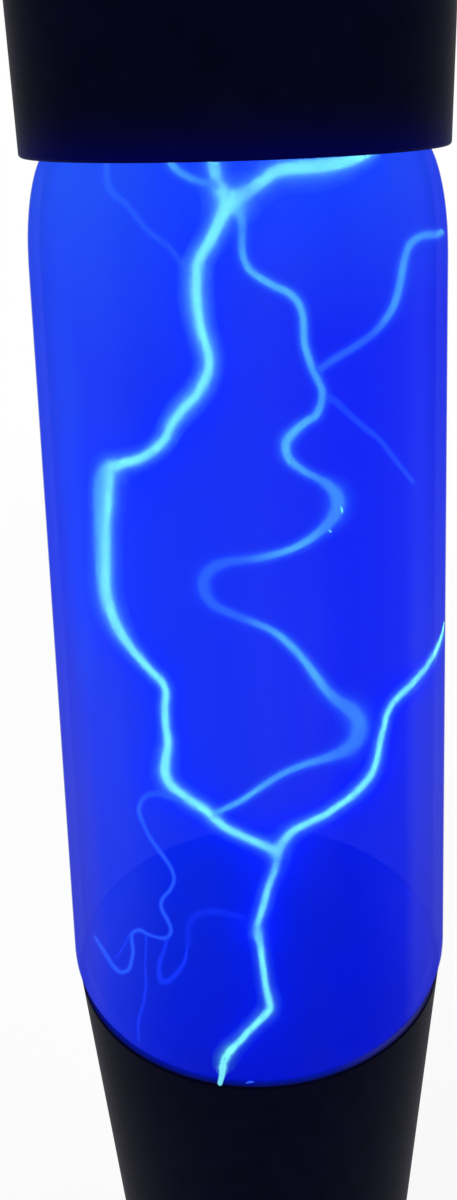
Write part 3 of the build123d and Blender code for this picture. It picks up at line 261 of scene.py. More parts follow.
# What the gas shows, traced from the photo: pixel, pixel, how far back between the near and the far
# side of the tube, and how wide the streamer is in pixels
JOIN_TOP = (230, 200, 0.36, 19)
JOIN_LOW = (277, 852, 0.50, 9)
STEM = [(213, 150, 0.46, 12), (214, 163, 0.44, 12), (217, 181, 0.40, 12), (223, 192, 0.38, 14), JOIN_TOP]
SHORT_LEFT = [
    (166, 157, 0.40, 6), (174, 167, 0.38, 7), (183, 174, 0.37, 7), (195, 180, 0.37, 7),
    (209, 183, 0.37, 7), (219, 188, 0.37, 7),
]
THICK_RIGHT = [
    JOIN_TOP, (244, 194, 0.37, 15), (254, 187, 0.38, 13), (266, 178, 0.40, 13), (277, 171, 0.42, 13),
    (294, 168, 0.45, 14), (321, 166, 0.48, 14), (344, 162, 0.52, 12), (361, 157, 0.55, 9),
    (376, 150, 0.58, 7),
]
LEFT_MAIN = [
    JOIN_TOP, (221, 218, 0.33, 12), (211, 239, 0.31, 10), (201, 256, 0.29, 9), (197, 268, 0.28, 9),
    (196, 286, 0.28, 9), (197, 305, 0.28, 9), (201, 330, 0.29, 8), (206, 346, 0.30, 8),
    (209, 363, 0.32, 8), (205, 379, 0.33, 8), (195, 396, 0.34, 8), (182, 410, 0.36, 8),
    (171, 425, 0.37, 8), (166, 437, 0.38, 8), (155, 449, 0.40, 8), (141, 458, 0.42, 8),
    (125, 463, 0.44, 9), (112, 468, 0.45, 12), (108, 480, 0.45, 11), (107, 500, 0.44, 11),
    (105, 522, 0.42, 10), (105, 550, 0.40, 10), (105, 575, 0.39, 10), (106, 592, 0.38, 10),
    (110, 609, 0.37, 10), (118, 628, 0.36, 9), (132, 649, 0.34, 7), (151, 671, 0.32, 6),
    (162, 682, 0.31, 6), (166, 693, 0.30, 6), (165, 709, 0.30, 6), (166, 727, 0.31, 6),
    (168, 742, 0.32, 7), (166, 757, 0.33, 8), (165, 772, 0.34, 9), (170, 784, 0.35, 8),
    (179, 792, 0.36, 7), (191, 801, 0.38, 7), (204, 809, 0.40, 7), (215, 819, 0.42, 7),
    (226, 828, 0.44, 6), (238, 834, 0.46, 6), (251, 840, 0.47, 6), (265, 846, 0.49, 7), JOIN_LOW,
]
MIDDLE = [
    (235, 201, 0.37, 12), (240, 211, 0.39, 9), (242, 225, 0.43, 8), (242, 248, 0.48, 7),
    (245, 261, 0.50, 7), (252, 272, 0.53, 7), (272, 285, 0.56, 7), (287, 292, 0.58, 7),
    (297, 301, 0.60, 7), (303, 316, 0.62, 7), (304, 340, 0.64, 7), (307, 353, 0.65, 7),
    (313, 370, 0.66, 7), (321, 387, 0.67, 7), (322, 399, 0.68, 7), (316, 415, 0.70, 7),
    (307, 421, 0.71, 7), (298, 428, 0.72, 8), (288, 439, 0.74, 9), (286, 449, 0.75, 9),
    (290, 460, 0.76, 8), (298, 467, 0.77, 7), (307, 473, 0.78, 7), (317, 478, 0.79, 7),
    (328, 485, 0.80, 10), (336, 494, 0.82, 14), (338, 504, 0.82, 15), (335, 514, 0.82, 13),
    (328, 524, 0.82, 10), (318, 533, 0.81, 8), (307, 541, 0.80, 7), (296, 547, 0.79, 6),
    (283, 552, 0.78, 6), (265, 557, 0.77, 7), (245, 560, 0.76, 8), (227, 562, 0.75, 9),
    (213, 568, 0.74, 11), (205, 577, 0.74, 12), (204, 588, 0.74, 12), (208, 598, 0.74, 11),
    (217, 607, 0.74, 9), (230, 613, 0.74, 8), (245, 619, 0.74, 7), (260, 625, 0.74, 6),
    (274, 632, 0.74, 6), (288, 643, 0.74, 7), (304, 660, 0.74, 7), (315, 675, 0.74, 8),
    (327, 691, 0.74, 9), (338, 701, 0.74, 11), (351, 710, 0.74, 15), (359, 721, 0.74, 17),
    (359, 732, 0.74, 17), (355, 742, 0.73, 14), (347, 749, 0.72, 13), (335, 755, 0.70, 9),
    (320, 760, 0.68, 7), (303, 765, 0.65, 6), (284, 773, 0.62, 6), (269, 782, 0.58, 6),
    (254, 792, 0.54, 5), (244, 799, 0.51, 5), (235, 804, 0.48, 5), (224, 809, 0.44, 5),
    (213, 815, 0.41, 5),
]
# Where it is weaker: pixel, pixel, how far back, reach in metres, how much
MIDDLE_WEAK = [
    (338, 502, 0.82, 0.014, 0.55), (212, 588, 0.74, 0.019, 1.0), (358, 726, 0.74, 0.014, 0.65),
    (300, 768, 0.64, 0.012, 0.5), (318, 388, 0.67, 0.008, 0.3),
]
RIGHT_UPPER = [
    (318, 371, 0.66, 6), (330, 362, 0.64, 7), (343, 354, 0.62, 7), (353, 348, 0.60, 7),
    (366, 339, 0.58, 7), (376, 331, 0.56, 7), (385, 320, 0.53, 7), (392, 309, 0.50, 7),
    (396, 299, 0.48, 7), (400, 285, 0.44, 7), (402, 273, 0.42, 7), (404, 262, 0.42, 7),
    (407, 251, 0.42, 6), (412, 242, 0.43, 7), (422, 236, 0.45, 7), (431, 235, 0.47, 7),
    (438, 234, 0.5, 6), (443, 231, 0.5, 5),
]
RIGHT_WEAK = [(340, 356, 0.62, 0.020, 1.0), (404, 262, 0.36, 0.016, 0.35)]
LEFT_SHEET = [
    (116, 466, 0.45, 9), (106, 471, 0.45, 13), (102, 482, 0.45, 15), (101, 500, 0.44, 14),
    (101, 525, 0.42, 12), (101, 550, 0.40, 11), (102, 580, 0.39, 9), (106, 604, 0.37, 7),
]
LOWER_RIGHT = [
    (446, 622, 0.5, 1), (442, 635, 0.5, 2), (437, 648, 0.45, 3), (433, 656, 0.4, 4), (427, 666, 0.38, 4),
    (419, 676, 0.38, 4.5), (410, 686, 0.39, 5), (400, 695, 0.4, 5), (393, 703, 0.4, 5),
    (387, 714, 0.39, 5), (384, 727, 0.37, 5), (380, 743, 0.36, 5.5), (377, 759, 0.36, 6),
    (372, 773, 0.36, 6), (364, 784, 0.37, 6), (356, 792, 0.38, 6), (347, 800, 0.40, 5.5),
    (335, 808, 0.42, 5.5), (325, 815, 0.44, 5.5), (314, 820, 0.46, 5.5), (302, 826, 0.47, 6),
    (293, 831, 0.49, 6.5), (284, 841, 0.50, 8), JOIN_LOW,
]
TRUNK = [
    JOIN_LOW, (276, 866, 0.50, 7), (271, 880, 0.50, 6), (267, 891, 0.50, 6), (264, 904, 0.50, 6),
    (260, 916, 0.50, 6), (257, 927, 0.50, 6), (258, 938, 0.50, 6),
]
FAINT_LOOP = [
    (190, 800, 0.38, 5), (176, 799, 0.36, 6), (160, 794, 0.35, 7), (148, 795, 0.34, 6),
    (141, 802, 0.34, 5), (139, 812, 0.34, 5), (143, 823, 0.34, 4), (151, 839, 0.34, 4),
    (161, 853, 0.35, 4), (171, 868, 0.36, 4), (174, 880, 0.36, 4), (170, 890, 0.36, 4),
    (163, 898, 0.36, 4), (161, 905, 0.36, 4), (163, 912, 0.36, 4), (168, 921, 0.36, 4),
    (171, 931, 0.36, 4), (166, 938, 0.36, 4), (156, 937, 0.35, 3), (147, 934, 0.34, 3),
]
FAINT_CURL = [
    (147, 934, 0.34, 3), (139, 930, 0.34, 4), (132, 934, 0.34, 4), (132, 943, 0.34, 4),
    (133, 952, 0.34, 4), (131, 963, 0.34, 4), (128, 970, 0.34, 4), (121, 972, 0.35, 4),
    (115, 968, 0.36, 4), (110, 961, 0.37, 4), (103, 950, 0.39, 4), (95, 937, 0.42, 3),
]
FAINT_STRAND = [
    (146, 936, 0.31, 3), (146, 950, 0.29, 2), (145, 966, 0.28, 2), (146, 982, 0.26, 3),
    (144, 1000, 0.25, 3), (141, 1012, 0.25, 3), (138, 1024, 0.25, 3), (139, 1040, 0.26, 2),
]
FAINT_WISP = [
    (187, 945, 0.36, 2), (185, 960, 0.35, 4), (177, 973, 0.35, 5), (168, 981, 0.34, 6),
    (161, 980, 0.34, 6), (159, 966, 0.34, 5), (164, 950, 0.34, 4), (168, 936, 0.36, 3),
]
FAINT_TAIL = [(129, 934, 0.34, 2), (124, 946, 0.34, 2), (116, 958, 0.35, 2)]
FAINT_ARC = [
    (189, 946, 0.36, 6), (188, 930, 0.38, 6), (194, 917, 0.40, 7), (208, 912, 0.42, 7),
    (226, 913, 0.44, 6), (243, 918, 0.46, 5),
]
FAINT_UPPER_LEFT = [
    (107, 160, 0.40, 6), (107, 178, 0.38, 7), (111, 192, 0.37, 7), (127, 205, 0.36, 6),
    (138, 219, 0.35, 6), (144, 227, 0.34, 6), (154, 236, 0.33, 6), (168, 246, 0.31, 6),
    (179, 260, 0.30, 6), (189, 276, 0.29, 6),
]
FAINT_UPPER_RIGHT = [
    (324, 396, 0.68, 7), (336, 402, 0.67, 7), (350, 415, 0.66, 6), (365, 428, 0.64, 6),
    (380, 440, 0.62, 5), (397, 462, 0.59, 5), (414, 483, 0.56, 4),
]
# Specks of white light on the glass
SPARKS = [
    [(341, 507, 0.0, 1.2), (342, 510, 0.0, 1.6), (342, 513, 0.0, 1.0)],
    [(329, 530, 0.0, 1.0), (331, 532, 0.0, 1.3)],
]
# From the middle of the tube's floor along it to the front edge: pixel, pixel, width in pixels
FLOOR_RUN = [
    (265, 981, 6), (269, 1000, 7), (270, 1008, 7), (266, 1014, 7), (257, 1023, 6), (247, 1033, 6),
    (238, 1043, 6), (230, 1051, 7), (225, 1059, 7), (223, 1066, 7), (222, 1074, 6),
]
# On from there over the edge of the glass and onto the seal, where it ends in a painted glint, and some
# painted glints on the seal beside it
RIM_RUN = [(224, 1061, 5), (223, 1067, 7), (222, 1075, 7), (220, 1083, 6)]
RIM_PAINTED_GLINTS = [[(246, 1083, 1), (250, 1082, 2), (254, 1082, 1)]]

# Where the light lies, and how finely it is made
FLOOR_LIFT = 1.2 * MM  # from the tube's floor to a streamer on it
ROOM = 3.8 * MM  # between a streamer and the inside of the glass
EDGE_ROOM = -1.9 * MM  # and where it ends at the wall
EDGE_SHARE = 1.02  # of the distance from the axis at which a ray passes it there
FLOOR_ROOM = -0.7 * MM  # and where it ends on the floor
GLOW_GAP = 0.12 * MM  # from the outside of the glass to the glow
LAYER_GAP = 0.1 * MM  # from the glow to a layer of a streamer
THINNEST = 0.05 * MM  # radius of a layer there
SKIN = 0.3 * MM  # from the glow to what lies on the glass
MARCH_FROM = 0.5  # of the camera's distance, from where the glass is looked for
MARCH_STEP = 0.05 * MM
FLOOR_GLOW_LIFT = 0.3 * MM
FLOOR_GLOW_RINGS = (0, 0.25, 0.5, 0.75, 1)
RIM_GLOW_LIFT = 0.06 * MM
RIM_GLOW_INSETS = (2.6, 1.9, 1.2, 0.6, 0.0)
ON_AXIS = 1e-6  # a radius below this one counts as none
NEARLY_ALONG = 0.01
TUBE_SIDES = 10
CURVE_STEPS = 6
LATHE_TURNS = 160
CORNER_STEPS = 10
SHOULDER_STEPS = 14
DOME_SHARES = (0.8, 0.6, 0.4, 0.2, 0.0)

# The left strand's halo widens over the strand's first points, narrows over those before its end
# and is never less than a share of its full width
HALO_AT_START = 2
HALO_RISE = 6
HALO_END = 20
HALO_FADE = 8
HALO_LEAST = 0.5


# Nodes


def new_material(name):
    material = bpy.data.materials.new(name)
    material.use_nodes = True
    tree = material.node_tree
    tree.nodes.clear()
    return material, tree


def node(tree, kind, **values):
    """A shader node with its sockets set by name."""
    made = tree.nodes.new(kind)
    for key, value in values.items():
        name = key.replace("_", " ")
        if name in made.inputs:
            made.inputs[name].default_value = value
        else:
            setattr(made, key, value)
    return made


def feed(tree, socket, value):
    """Links another socket to this one, or sets it to a plain value."""
    if isinstance(value, bpy.types.NodeSocket):
        tree.links.new(value, socket)
    else:
        socket.default_value = value


def paint(tree, socket, colour):
    """Links a colour to a socket, or sets it to a plain one."""
    feed(tree, socket, colour if isinstance(colour, bpy.types.NodeSocket) else (*colour, 1))


def object_place(tree):
    return node(tree, "ShaderNodeTexCoord").outputs["Object"]


def along_axes(tree, coordinates):
    """The X, Y and Z of a place, by name."""
    made = node(tree, "ShaderNodeSeparateXYZ")
    tree.links.new(coordinates, made.inputs["Vector"])
    return made.outputs


def distance(tree, coordinates, place):
    made = node(tree, "ShaderNodeVectorMath", operation="DISTANCE")
    tree.links.new(coordinates, made.inputs[0])
    made.inputs[1].default_value = place
    return made.outputs["Value"]


def noise(tree, coordinates, scale, stretch=(1, 1, 1)):
    mapping = node(tree, "ShaderNodeMapping", Scale=stretch)
    tree.links.new(coordinates, mapping.inputs["Vector"])
    made = node(tree, "ShaderNodeTexNoise", Scale=scale, Detail=NOISE_DETAIL)
    tree.links.new(mapping.outputs["Vector"], made.inputs["Vector"])
    return made.outputs["Fac"]


def ramp(tree, value, start, end, at_start, at_end):
    """A number that goes evenly from one value to another as this one goes from start to end."""
    made = node(tree, "ShaderNodeMapRange")
    made.inputs["From Min"].default_value = start
    made.inputs["From Max"].default_value = end
    made.inputs["To Min"].default_value = at_start
    made.inputs["To Max"].default_value = at_end
    tree.links.new(value, made.inputs["Value"])
    return made.outputs["Result"]


def spread(tree, value, low, high):
    """A noise spread over the whole way from low to high."""
    return ramp(tree, value, *NOISE_SPAN, low, high)


def combined(tree, operation, first, second):
    """Two numbers, each plain or a socket, joined by a Math node."""
    made = node(tree, "ShaderNodeMath", operation=operation)
    feed(tree, made.inputs[0], first)
    feed(tree, made.inputs[1], second)
    return made.outputs[0]


def mixed(tree, factor, first, second):
    """Two colours, each plain or a socket, mixed by a factor."""
    made = node(tree, "ShaderNodeMix", data_type="RGBA")
    paint(tree, made.inputs[6], first)
    paint(tree, made.inputs[7], second)
    tree.links.new(factor, made.inputs["Factor"])
    return made.outputs[2]


def mixed_shaders(tree, share, first, second):
    """Two shader nodes mixed, the second by this share."""
    made = node(tree, "ShaderNodeMixShader")
    feed(tree, made.inputs["Fac"], share)
    tree.links.new(first.outputs[0], made.inputs[1])
    tree.links.new(second.outputs[0], made.inputs[2])
    return made


def roughen(tree, surface, height, strength, depth):
    bump = node(tree, "ShaderNodeBump", Strength=strength, Distance=depth)
    tree.links.new(height, bump.inputs["Height"])
    tree.links.new(bump.outputs["Normal"], surface.inputs["Normal"])


def show(tree, shader, kind="ShaderNodeOutputMaterial"):
    """Puts a shader node on a material's surface, or round the world."""
    out = node(tree, kind)
    tree.links.new(shader.outputs[0], out.inputs["Surface"])


# Materials


def finish(name, dark, light, rough, grain, depth, metallic=0.0, shine=0.5, stretch=(1, 1, 1), lit=False):
    """A moulded, drawn or painted surface: two close shades, uneven gloss and a fine grain."""
    material, tree = new_material(name)
    coordinates = object_place(tree)
    patches = noise(tree, coordinates, grain / PATCH_GRAINS, stretch)
    fine = noise(tree, coordinates, grain, stretch)
    surface = node(tree, "ShaderNodeBsdfPrincipled", Metallic=metallic, Specular_IOR_Level=shine)
    colour = mixed(tree, spread(tree, patches, 0, 1), dark, light)
    if lit:
        colour = lit_by_gas(tree, coordinates, colour)
        surface.inputs["Specular Tint"].default_value = (*SPILL_GLOSS, 1)
    tree.links.new(colour, surface.inputs["Base Color"])
    tree.links.new(spread(tree, fine, *rough), surface.inputs["Roughness"])
    roughen(tree, surface, fine, FINISH_BUMP, depth * MM)
    show(tree, surface)
    return material


def lit_by_gas(tree, coordinates, colour):
    """A colour that turns bluer at the cap's rim and fades back over it."""
    height = along_axes(tree, coordinates)["Z"]
    near = ramp(tree, height, CAP_RIM_Z, CAP_RIM_Z + SPILL_HEIGHT, 1.0, 0.0)
    above = combined(tree, "GREATER_THAN", height, CAP_RIM_Z - SPILL_BELOW)
    share = combined(tree, "MULTIPLY", combined(tree, "POWER", near, SPILL_POWER), above)
    return mixed(tree, share, colour, SPILL_BLUE)


def per_face(tint):
    """What one of a wall's two faces lets through beside its gloss, for a wall of this tint."""
    return tuple(min(1.0, math.sqrt(share) / (1 - GLOSS_SHARE)) for share in tint)


def tube_glass():
    """Clear blue glass, deeper where it is seen edge on, drawn along its length, with a thin gloss."""
    material, tree = new_material("tube_glass")
    draw = noise(tree, object_place(tree), DRAW_SCALE, DRAW_STRETCH)
    lighter = [share * GLASS_LIGHTER for share in GLASS_TINT]
    plain = mixed(tree, spread(tree, draw, 0, 1), per_face(GLASS_TINT), per_face(lighter))
    facing = node(tree, "ShaderNodeLayerWeight", Blend=0.5).outputs["Facing"]
    clear = node(tree, "ShaderNodeBsdfTransparent")
    edge = ramp(tree, facing, *EDGE_ON, 0, 1)
    tree.links.new(mixed(tree, edge, plain, per_face(EDGE_TINT)), clear.inputs["Color"])
    gloss = node(tree, "ShaderNodeBsdfPrincipled", Roughness=GLOSS_ROUGHNESS, IOR=GLASS_IOR)
    gloss.inputs["Base Color"].default_value = (*GLOSS_COLOUR, 1)
    roughen(tree, gloss, draw, DRAW_BUMP, DRAW_DEPTH)
    show(tree, mixed_shaders(tree, GLOSS_SHARE, clear, gloss))
    return material


def see_through(material, tree, colour, cover, strength=1.0):
    """Light over a surface that lets the rest through."""
    light = node(tree, "ShaderNodeEmission", Strength=strength)
    paint(tree, light.inputs["Color"], colour)
    clear = node(tree, "ShaderNodeBsdfTransparent")
    show(tree, mixed_shaders(tree, cover, clear, light))
    return material


def pale_and_painted_reflection(tree, across, height, upright):
    """How pale the gas is: under the cap, and at the upper left and beside the left strand, where the
    paleness is a painted reflection on the glass; all in upright streaks.
    """
    left = ramp(tree, across, *PALE_LEFT)
    upper = combined(tree, "MULTIPLY", left, ramp(tree, height, *PALE_UPPER))
    top = ramp(tree, height, *PALE_TOP)
    beside = combined(
        tree, "MULTIPLY", ramp(tree, across, *PALE_BESIDE), ramp(tree, height, *PALE_HALFWAY)
    )
    pale = combined(tree, "MAXIMUM", combined(tree, "MAXIMUM", upper, top), beside)
    return combined(tree, "MULTIPLY", pale, spread(tree, upright, *STREAK_PALE))


def painted_reflection_bands(tree, across, height, upright):
    """How far a painted reflection on the glass turns the gas violet or grey: in bands along its sides
    and in soft upright streaks.
    """
    left = combined(tree, "ADD", ramp(tree, across, *LEFT_EDGE), ramp(tree, across, *LEFT_BAND))
    right = combined(tree, "ADD", ramp(tree, across, *RIGHT_EDGE), ramp(tree, across, *RIGHT_BAND))
    lower = combined(
        tree, "MULTIPLY", ramp(tree, height, *BANDS_LOWER), ramp(tree, height, *BANDS_OVER_FOOT)
    )
    bands = combined(tree, "MULTIPLY", combined(tree, "ADD", left, right), lower)
    streaks = combined(
        tree, "MULTIPLY", ramp(tree, upright, *REFLECTION_STREAKS), ramp(tree, height, *STREAKS_OVER_FOOT)
    )
    return combined(tree, "ADD", bands, streaks)


def gas_material():
    """Blue glow, paler at the upper left and violet along its sides with a painted reflection on the
    glass, and duller at its foot.
    """
    material, tree = new_material("gas_glow")
    coordinates = object_place(tree)
    axes = along_axes(tree, coordinates)
    across, height = axes["X"], axes["Z"]
    upright = noise(tree, coordinates, STREAK_SCALE, STREAK_STRETCH)
    # Paler under the cap, and with a painted reflection on the glass at the left
    colour = mixed(tree, pale_and_painted_reflection(tree, across, height, upright), GAS_DEEP, GAS_PALE)
    foot = combined(tree, "MULTIPLY", ramp(tree, height, *LOW_FOOT), ramp(tree, across, *LOW_ACROSS))
    colour = mixed(tree, foot, colour, GAS_LOW)
    # Colours of the painted reflection on the glass, violet higher up and grey lower down
    side = mixed(tree, ramp(tree, height, *GREY_LOWER), REFLECTION_VIOLET, REFLECTION_GREY)
    colour = mixed(tree, painted_reflection_bands(tree, across, height, upright), colour, side)
    return see_through(material, tree, colour, VEIL)


def floor_material():
    """The tube's floor seen through the gas: dull and bright blue patches that pale towards its sides."""
    material, tree = new_material("floor_glow")
    coordinates = object_place(tree)
    aside = combined(tree, "ABSOLUTE", along_axes(tree, coordinates)["X"], 0.0)
    patches = ramp(tree, noise(tree, coordinates, FLOOR_SCALE), *FLOOR_PATCHES)
    patches = combined(tree, "MULTIPLY", patches, FLOOR_PATCH_SHARE)
    bright = combined(tree, "MAXIMUM", patches, ramp(tree, aside, *FLOOR_MIDDLE))
    colour = mixed(tree, bright, FLOOR_DARK, FLOOR_BLUE)
    pale = combined(tree, "POWER", ramp(tree, aside, *FLOOR_NEAR_WALL), FLOOR_PALE_POWER)
    return see_through(material, tree, mixed(tree, pale, colour, FLOOR_PALE), FLOOR_COVER)


def rim_material():
    """Blue light on the clear seal round the foot of the glass, gone at the cup's edge."""
    material, tree = new_material("rim_glow")
    coordinates = object_place(tree)
    cover = ramp(tree, distance(tree, coordinates, (0, 0, SEAL_TOP)), *RIM_FADE)
    shade = mixed(tree, spread(tree, noise(tree, coordinates, RIM_SCALE), 0, 1), RIM_DEEP, RIM_LIGHT)
    right = ramp(tree, along_axes(tree, coordinates)["X"], *RIM_RIGHT)
    return see_through(material, tree, mixed(tree, right, shade, RIM_VIOLET), cover, RIM_STRENGTH)


def behind_gas(seen):
    """The light that gives this colour once the glass and a layer of gas are in front of it."""
    light = []
    for value, gas, tint in zip(seen, GAS_LEAST, GLASS_TINT):
        light.append(max(0.0, (value - VEIL * gas) / ((1 - VEIL) * math.sqrt(tint))))
    return light


def glow_material(name, light, cover, weak_spots=()):
    """One shell of light round a streamer, which flickers along it and is dimmer near some places."""
    material, tree = new_material(name)
    coordinates = object_place(tree)
    peak = max(light)
    dim = [value / peak for value in behind_gas(CORE_DIM)]
    flicker = node(tree, "ShaderNodeVectorMath", operation="SCALE")
    flicker.inputs[0].default_value = [value / peak for value in light]
    strength = spread(tree, noise(tree, coordinates, FLICKER_SCALE), *FLICKER)
    tree.links.new(strength, flicker.inputs["Scale"])
    colour = flicker.outputs[0]
    for place, reach, most in weak_spots:
        near = ramp(tree, distance(tree, coordinates, place), WEAK_FULL * reach, reach, most, 0.0)
        colour = mixed(tree, near, colour, dim)
    return see_through(material, tree, colour, cover, peak)


# Places on the photo's rays


def ray(x, y):
    """Direction from the camera through a pixel of the photo."""
    across = (x - MIDDLE_X) / FOCAL_PIXELS
    down = (y - MIDDLE_Y) / FOCAL_PIXELS
    return FORWARD + RIGHT * across - UP * down


def within(point, gap):
    """The point, drawn in to leave this gap to the inside of the glass."""
    most = GLASS_RADIUS - WALL - gap
    share = min(1.0, most / max(math.hypot(point.x, point.y), ON_AXIS))
    return Vector((point.x * share, point.y * share, point.z))


def inside_tube(x, y, back):
    """A point inside the tube on a pixel's ray, at a share of the way from its near to its far side."""
    way = ray(x, y)
    square = way.x**2 + way.y**2
    half = way.x * CAMERA_PLACE.x + way.y * CAMERA_PLACE.y
    aside = abs(way.x * CAMERA_PLACE.y - way.y * CAMERA_PLACE.x) / math.sqrt(square)
    wall = GLASS_RADIUS - WALL
    radius = max(wall - ROOM, min(wall - EDGE_ROOM, aside * EDGE_SHARE))
    rest = CAMERA_PLACE.x**2 + CAMERA_PLACE.y**2 - radius**2
    root = math.sqrt(max(0.0, half**2 - square * rest))
    near, far = (-half - root) / square, (-half + root) / square
    reach = near + (far - near) * back
    if way.z < 0:
        reach = min(reach, (FLOOR_Z + FLOOR_LIFT - CAMERA_PLACE.z) / way.z)
    return within(CAMERA_PLACE + way * reach, EDGE_ROOM)


def on_floor(x, y):
    """A point just over the tube's floor on a pixel's ray."""
    way = ray(x, y)
    return within(CAMERA_PLACE + way * ((FLOOR_Z + FLOOR_LIFT - CAMERA_PLACE.z) / way.z), FLOOR_ROOM)


def room_at(point):
    """How far a point is from the glow in the glass."""
    radius = math.hypot(point.x, point.y)
    inner = GLASS_RADIUS - CORNER_RADIUS
    corner_z = FLOOR_Z - WALL + CORNER_RADIUS
    if radius > inner and point.z < corner_z:
        return CORNER_RADIUS - GLOW_GAP - math.hypot(radius - inner, point.z - corner_z)
    return GLASS_RADIUS - GLOW_GAP - radius


def on_outside(x, y):
    """A point just off the glass, or off the seal at its foot, on a pixel's ray."""
    way = ray(x, y)
    reach = MARCH_FROM * CAMERA_DISTANCE
    point = CAMERA_PLACE + way * reach
    while room_at(point) < -SKIN and point.z > SEAL_TOP + SKIN:
        reach += MARCH_STEP
        point = CAMERA_PLACE + way * reach
    return point


def radius_of(point, pixels):
    """Half of a width in pixels, in metres at that point's distance."""
    return pixels / 2 * (point - CAMERA_PLACE).dot(FORWARD) / FOCAL_PIXELS


def traced(route):
    """Points and core radii of a route through the tube."""
    points = [inside_tube(x, y, back) for x, y, back, width in route]
    return points, [radius_of(p, width) for p, (x, y, back, width) in zip(points, route)]


def trunk_to_floor():
    """The trunk's route, on to the middle of the floor and along it to the front."""
    points, radii = traced(TRUNK)
    points.append(Vector((0, 0, FLOOR_Z + FLOOR_LIFT)))
    radii.append(radii[-1])
    for x, y, width in FLOOR_RUN:
        points.append(on_floor(x, y))
        radii.append(radius_of(points[-1], width))
    return points, radii


def left_halo():
    """The left strand's route, with the widths of its halo."""
    points, radii = traced(LEFT_MAIN)
    widths = []
    for number, radius in enumerate(radii):
        share = min(1.0, (number + HALO_AT_START) / HALO_RISE, (HALO_END - number) / HALO_FADE)
        widths.append(radius * max(HALO_LEAST, share))
    return points, widths


def outside(route):
    """Points and core radii of a route on the glass and the seal."""
    points = [on_outside(x, y) for x, y, width in route]
    return points, [radius_of(p, width) for p, (x, y, width) in zip(points, route)]


# Meshes


def between(before, start, end, after, t):
    """A point between start and end, on a smooth curve through all four."""
    even = 2 * start + (end - before) * t
    square = (2 * before - 5 * start + 4 * end - after) * t**2
    cube = (3 * start - before - 3 * end + after) * t**3
    return 0.5 * (even + square + cube)


def smooth(points, radii):
    """More points on a curve through all of these, with radii between theirs."""
    ends = [points[0] * 2 - points[1], *points, points[-1] * 2 - points[-2]]
    fine_points, fine_radii = [], []
    for number in range(len(points) - 1):
        for step in range(CURVE_STEPS):
            t = step / CURVE_STEPS
            fine_points.append(between(*ends[number : number + 4], t))
            ease = t * t * (3 - 2 * t)
            fine_radii.append(radii[number] * (1 - ease) + radii[number + 1] * ease)
    return [*fine_points, points[-1]], [*fine_radii, radii[-1]]


def add_tube(mesh, points, radii):
    """A round tube along the points, closed at its ends."""
    rings = []
    across = Vector((0, 0, 1))
    for number, (point, radius) in enumerate(zip(points, radii)):
        along = (points[min(number + 1, len(points) - 1)] - points[max(number - 1, 0)]).normalized()
        across = across - along * across.dot(along)
        if across.length < NEARLY_ALONG:
            across = along.orthogonal()
        across.normalize()
        third = along.cross(across)
        ring = []
        for side in range(TUBE_SIDES):
            turn = 2 * math.pi * side / TUBE_SIDES
            out = across * math.cos(turn) + third * math.sin(turn)
            ring.append(mesh.verts.new(point + out * radius))
        rings.append(ring)
    for first, second in zip(rings, rings[1:]):
        for side in range(TUBE_SIDES):
            beside = (side + 1) % TUBE_SIDES
            mesh.faces.new((first[side], first[beside], second[beside], second[side]))
    mesh.faces.new(rings[0][::-1])
    mesh.faces.new(rings[-1])


def object_from(mesh, name, material):
    """A smooth piece of the scene made from a bmesh."""
    bmesh.ops.recalc_face_normals(mesh, faces=mesh.faces)
    data = bpy.data.meshes.new(name)
    mesh.to_mesh(data)
    mesh.free()
    for face in data.polygons:
        face.use_smooth = True
    data.materials.append(material)
    piece = bpy.data.objects.new(name, data)
    bpy.context.scene.collection.objects.link(piece)
    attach(piece, "stand")
    return piece


def tubes(name, routes, material, scale=1.0, inside=True):
    """One piece from several routes, each a (points, radii) pair, scaled in width."""
    mesh = bmesh.new()
    for points, radii in routes:
        fine_points, fine_radii = smooth(points, radii)
        wide = [radius * scale for radius in fine_radii]
        if inside:
            most = [max(THINNEST, room_at(point) - LAYER_GAP) for point in fine_points]
            wide = [min(pair) for pair in zip(wide, most)]
        add_tube(mesh, fine_points, wide)
    return object_from(mesh, name, material)


def ring_of(mesh, radius, z):
    """Points round Z at a height, or one on the axis."""
    if radius < ON_AXIS:
        return [mesh.verts.new((0, 0, z))]
    ring = []
    for number in range(LATHE_TURNS):
        turn = 2 * math.pi * number / LATHE_TURNS
        ring.append(mesh.verts.new((radius * math.cos(turn), radius * math.sin(turn), z)))
    return ring


def lathe(name, profile, material):
    """A surface turned round Z from (radius, z) points."""
    mesh = bmesh.new()
    rings = [ring_of(mesh, radius, z) for radius, z in profile]
    for first, second in zip(rings, rings[1:]):
        for number in range(LATHE_TURNS):
            beside = (number + 1) % LATHE_TURNS
            corners = [
                first[number % len(first)],
                first[beside % len(first)],
                second[beside % len(second)],
                second[number % len(second)],
            ]
            mesh.faces.new(list(dict.fromkeys(corners)))
    return object_from(mesh, name, material)


def arc(middle_radius, middle_z, wide, high, start, end, steps):
    """Points on an upright ellipse's arc, by angles in degrees."""
    turns = [math.radians(start + (end - start) * step / steps) for step in range(steps + 1)]
    return [(middle_radius + wide * math.cos(t), middle_z + high * math.sin(t)) for t in turns]


